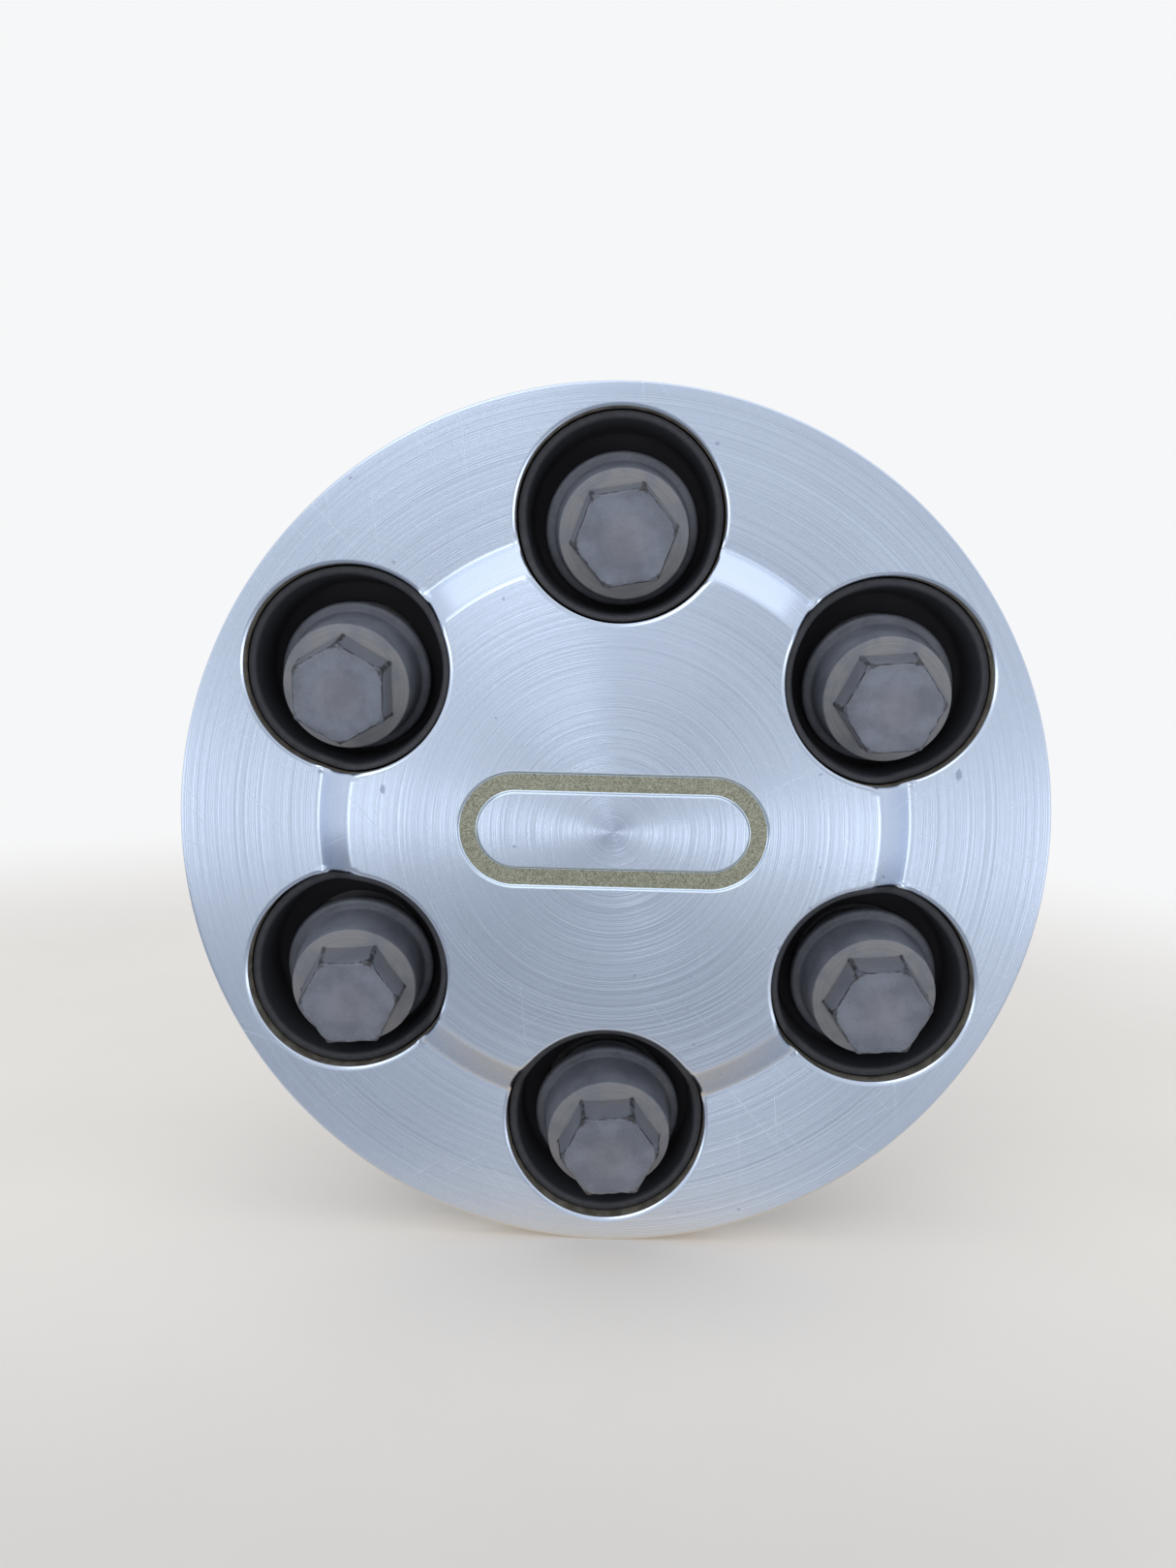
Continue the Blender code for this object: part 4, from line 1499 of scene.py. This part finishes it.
# %% [markdown]
# ## Floor, light and camera
# The cap stands on a pale floor that fades into a white background. Metal shows what surrounds it, so
# floor and world are part of the finish. A little way in front of the cap the floor is painted grey,
# mostly where reflections see it: painted shade. Close to the cap, reflections see the floor glow warm
# over the cap's shadow: a painted reflection. The world has darker corners low in front, mostly on the
# right, that only reflections show: they draw the dark fans, and four soft panels draw the bright ones.
# The camera's place and lens were worked out from the outlines of the rim and the holes.

# %% Pale floor
FLOOR_RADIUS = 900.0
FLOOR_COLUMNS = 96
FLOOR_PALE = (0.95, 0.90, 0.84)
FLOOR_GREY = (0.39, 0.39, 0.40)
FLOOR_MOTTLE = (0.45, 0.45, 0.45)
FLOOR_PAINTED_GLOW = (0.90, 0.70, 0.48, 1.0)
EVENLY = (1.0, 1.0, 0.0)


def pale_floor():
    level = cad_box[0].z / MM
    ring = circle(0.0, 0.0, FLOOR_RADIUS, FLOOR_COLUMNS)
    corners = np.column_stack([ring[:, 0], np.full(FLOOR_COLUMNS, level), ring[:, 1]])
    piece = outward(new_piece("floor", corners, [tuple(range(FLOOR_COLUMNS))]))
    finish = Finish("pale_floor", Roughness=0.7)
    seen, mirrored = finish.node("ShaderNodeLightPath", output=("Is Camera Ray", "Is Glossy Ray"))
    # Painted shade: a grey zone in front of the cap, pale to the right, faint to the camera and full in
    # reflections.
    dim = finish.away((0.0, 0.0, 0.0), (0.45, 1.0, 0.0)).step(55.0, 145.0)
    dim = dim * finish.away((190.0, -190.0, 0.0), EVENLY).step(70.0, 150.0)
    dim = dim * (1.0 - finish.parts(finish.place)[1].step(-10.0, 70.0)) * (1.0 - 0.75 * seen)
    tone = finish.mix(dim, FLOOR_PALE, FLOOR_GREY)
    finish.feed("Base Color", finish.mix(finish.noise(finish.place, 0.02, 3.0) * 0.1, tone, FLOOR_MOTTLE))
    # Painted reflection: close to the cap, reflections see the floor glow warm, over the cap's shadow.
    close = 1.0 - finish.away((0.0, -15.0, 0.0), (0.4, 1.0, 0.0)).step(18.0, 45.0)
    painted_glow = finish.node("ShaderNodeEmission", {}, {"Color": FLOOR_PAINTED_GLOW, "Strength": 1.0})
    plain = Flow(finish, finish.shader.outputs[0])
    lit = finish.node("ShaderNodeMixShader", {}, {0: mirrored * close * 0.9, 1: plain, 2: painted_glow})
    far = finish.away((-60.0, 0.0, 0.0), EVENLY).step(260.0, 560.0)
    clear = finish.node("ShaderNodeBsdfTransparent")
    finish.surface("Material Output", finish.node("ShaderNodeMixShader", {}, {0: far, 1: lit, 2: clear}))
    piece.data.materials.append(finish.material)
    return piece


floor = pale_floor()
print("floor at", round(cad_box[0].z / MM, 1), "mm")

# %% World and panels
WORLD_PALE = (0.925, 0.93, 0.94)
WORLD_CORNER = (0.22, 0.22, 0.24)
WORLD_GLOW = (0.93, 0.96, 1.0, 1.0)
GLOW_STRENGTH = 0.74
# Name, place, width and height in metres, and power in watts; every panel faces the cap
PANELS = (
    ("left_panel", (-0.66, -0.80, -0.18), 0.5, 0.36, 0.75),
    ("right_panel", (0.66, -0.80, -0.26), 0.5, 0.40, 0.95),
    ("upper_panel", (-0.30, -0.80, 0.55), 0.5, 0.5, 1.05),
    ("overhead_panel", (0.0, -0.14, 0.95), 1.7, 0.8, 1.8),
)


def panel(name, place, width, height, power):
    light = bpy.data.lights.new(name, "AREA")
    light.shape = "RECTANGLE"
    light.size = width
    light.size_y = height
    light.energy = power
    lamp = bpy.data.objects.new(name, light)
    lamp.location = place
    lamp.rotation_euler = (-Vector(place)).to_track_quat("-Z", "Y").to_euler()
    lamp.visible_camera = False
    bpy.context.scene.collection.objects.link(lamp)
    return lamp


def soft_world():
    """Pale all round, with darker corners low in front that the camera doesn't see."""
    world = bpy.data.worlds.new("soft_world")
    world.use_nodes = True
    recipe = Recipe(world.node_tree)
    kinds = ("Is Camera Ray", "Is Glossy Ray", "Is Transmission Ray")
    rays = recipe.node("ShaderNodeLightPath", output=kinds)
    x, y, z = recipe.parts(recipe.node("ShaderNodeTexCoord", output="Generated"))
    up = z + 0.12
    spread = x * x + up * up + 0.0001
    corner = 2.0 * x * up / spread
    corner = corner * corner * spread.step(0.01, 0.10) * (1.0 - spread.step(0.30, 0.75))
    corner = corner * (1.0 - y.step(-0.5, 0.0)) * (1.0 - z.step(0.12, 0.42))
    corner = corner * (0.05 + 0.65 * x.step(-0.1, 0.1)) * (1.0 - rays[0])
    pale = recipe.mix(corner, WORLD_PALE, WORLD_CORNER)
    backdrop = recipe.node("ShaderNodeBackground", {}, {"Color": pale, "Strength": 1.0})
    glow = recipe.node("ShaderNodeBackground", {}, {"Color": WORLD_GLOW, "Strength": GLOW_STRENGTH})
    both = recipe.node("ShaderNodeMixShader", {}, {0: sum(rays), 1: glow, 2: backdrop})
    recipe.surface("World Output", both)
    bpy.context.scene.world = world


soft_world()
lamps = [panel(*row) for row in PANELS]
print("world set, with", len(lamps), "panels")

# %% Camera
CAMERA_PLACE = (-0.00125, -0.28801, 0.04720)
CAMERA_TURN = (82.2008, -1.3187, 1.1667)
FOCAL_SHARE = 1240.0 / 1619.0

lens = bpy.data.cameras.new("camera")
lens.sensor_fit = "VERTICAL"
lens.sensor_height = 36.0
lens.lens = FOCAL_SHARE * lens.sensor_height
lens.clip_start = 0.01
camera = bpy.data.objects.new("camera", lens)
camera.location = CAMERA_PLACE
camera.rotation_euler = [radians(angle) for angle in CAMERA_TURN]
bpy.context.scene.collection.objects.link(camera)
bpy.context.scene.camera = camera
bpy.context.scene.view_settings.view_transform = "Standard"
print("lens", round(lens.lens, 2), "mm")
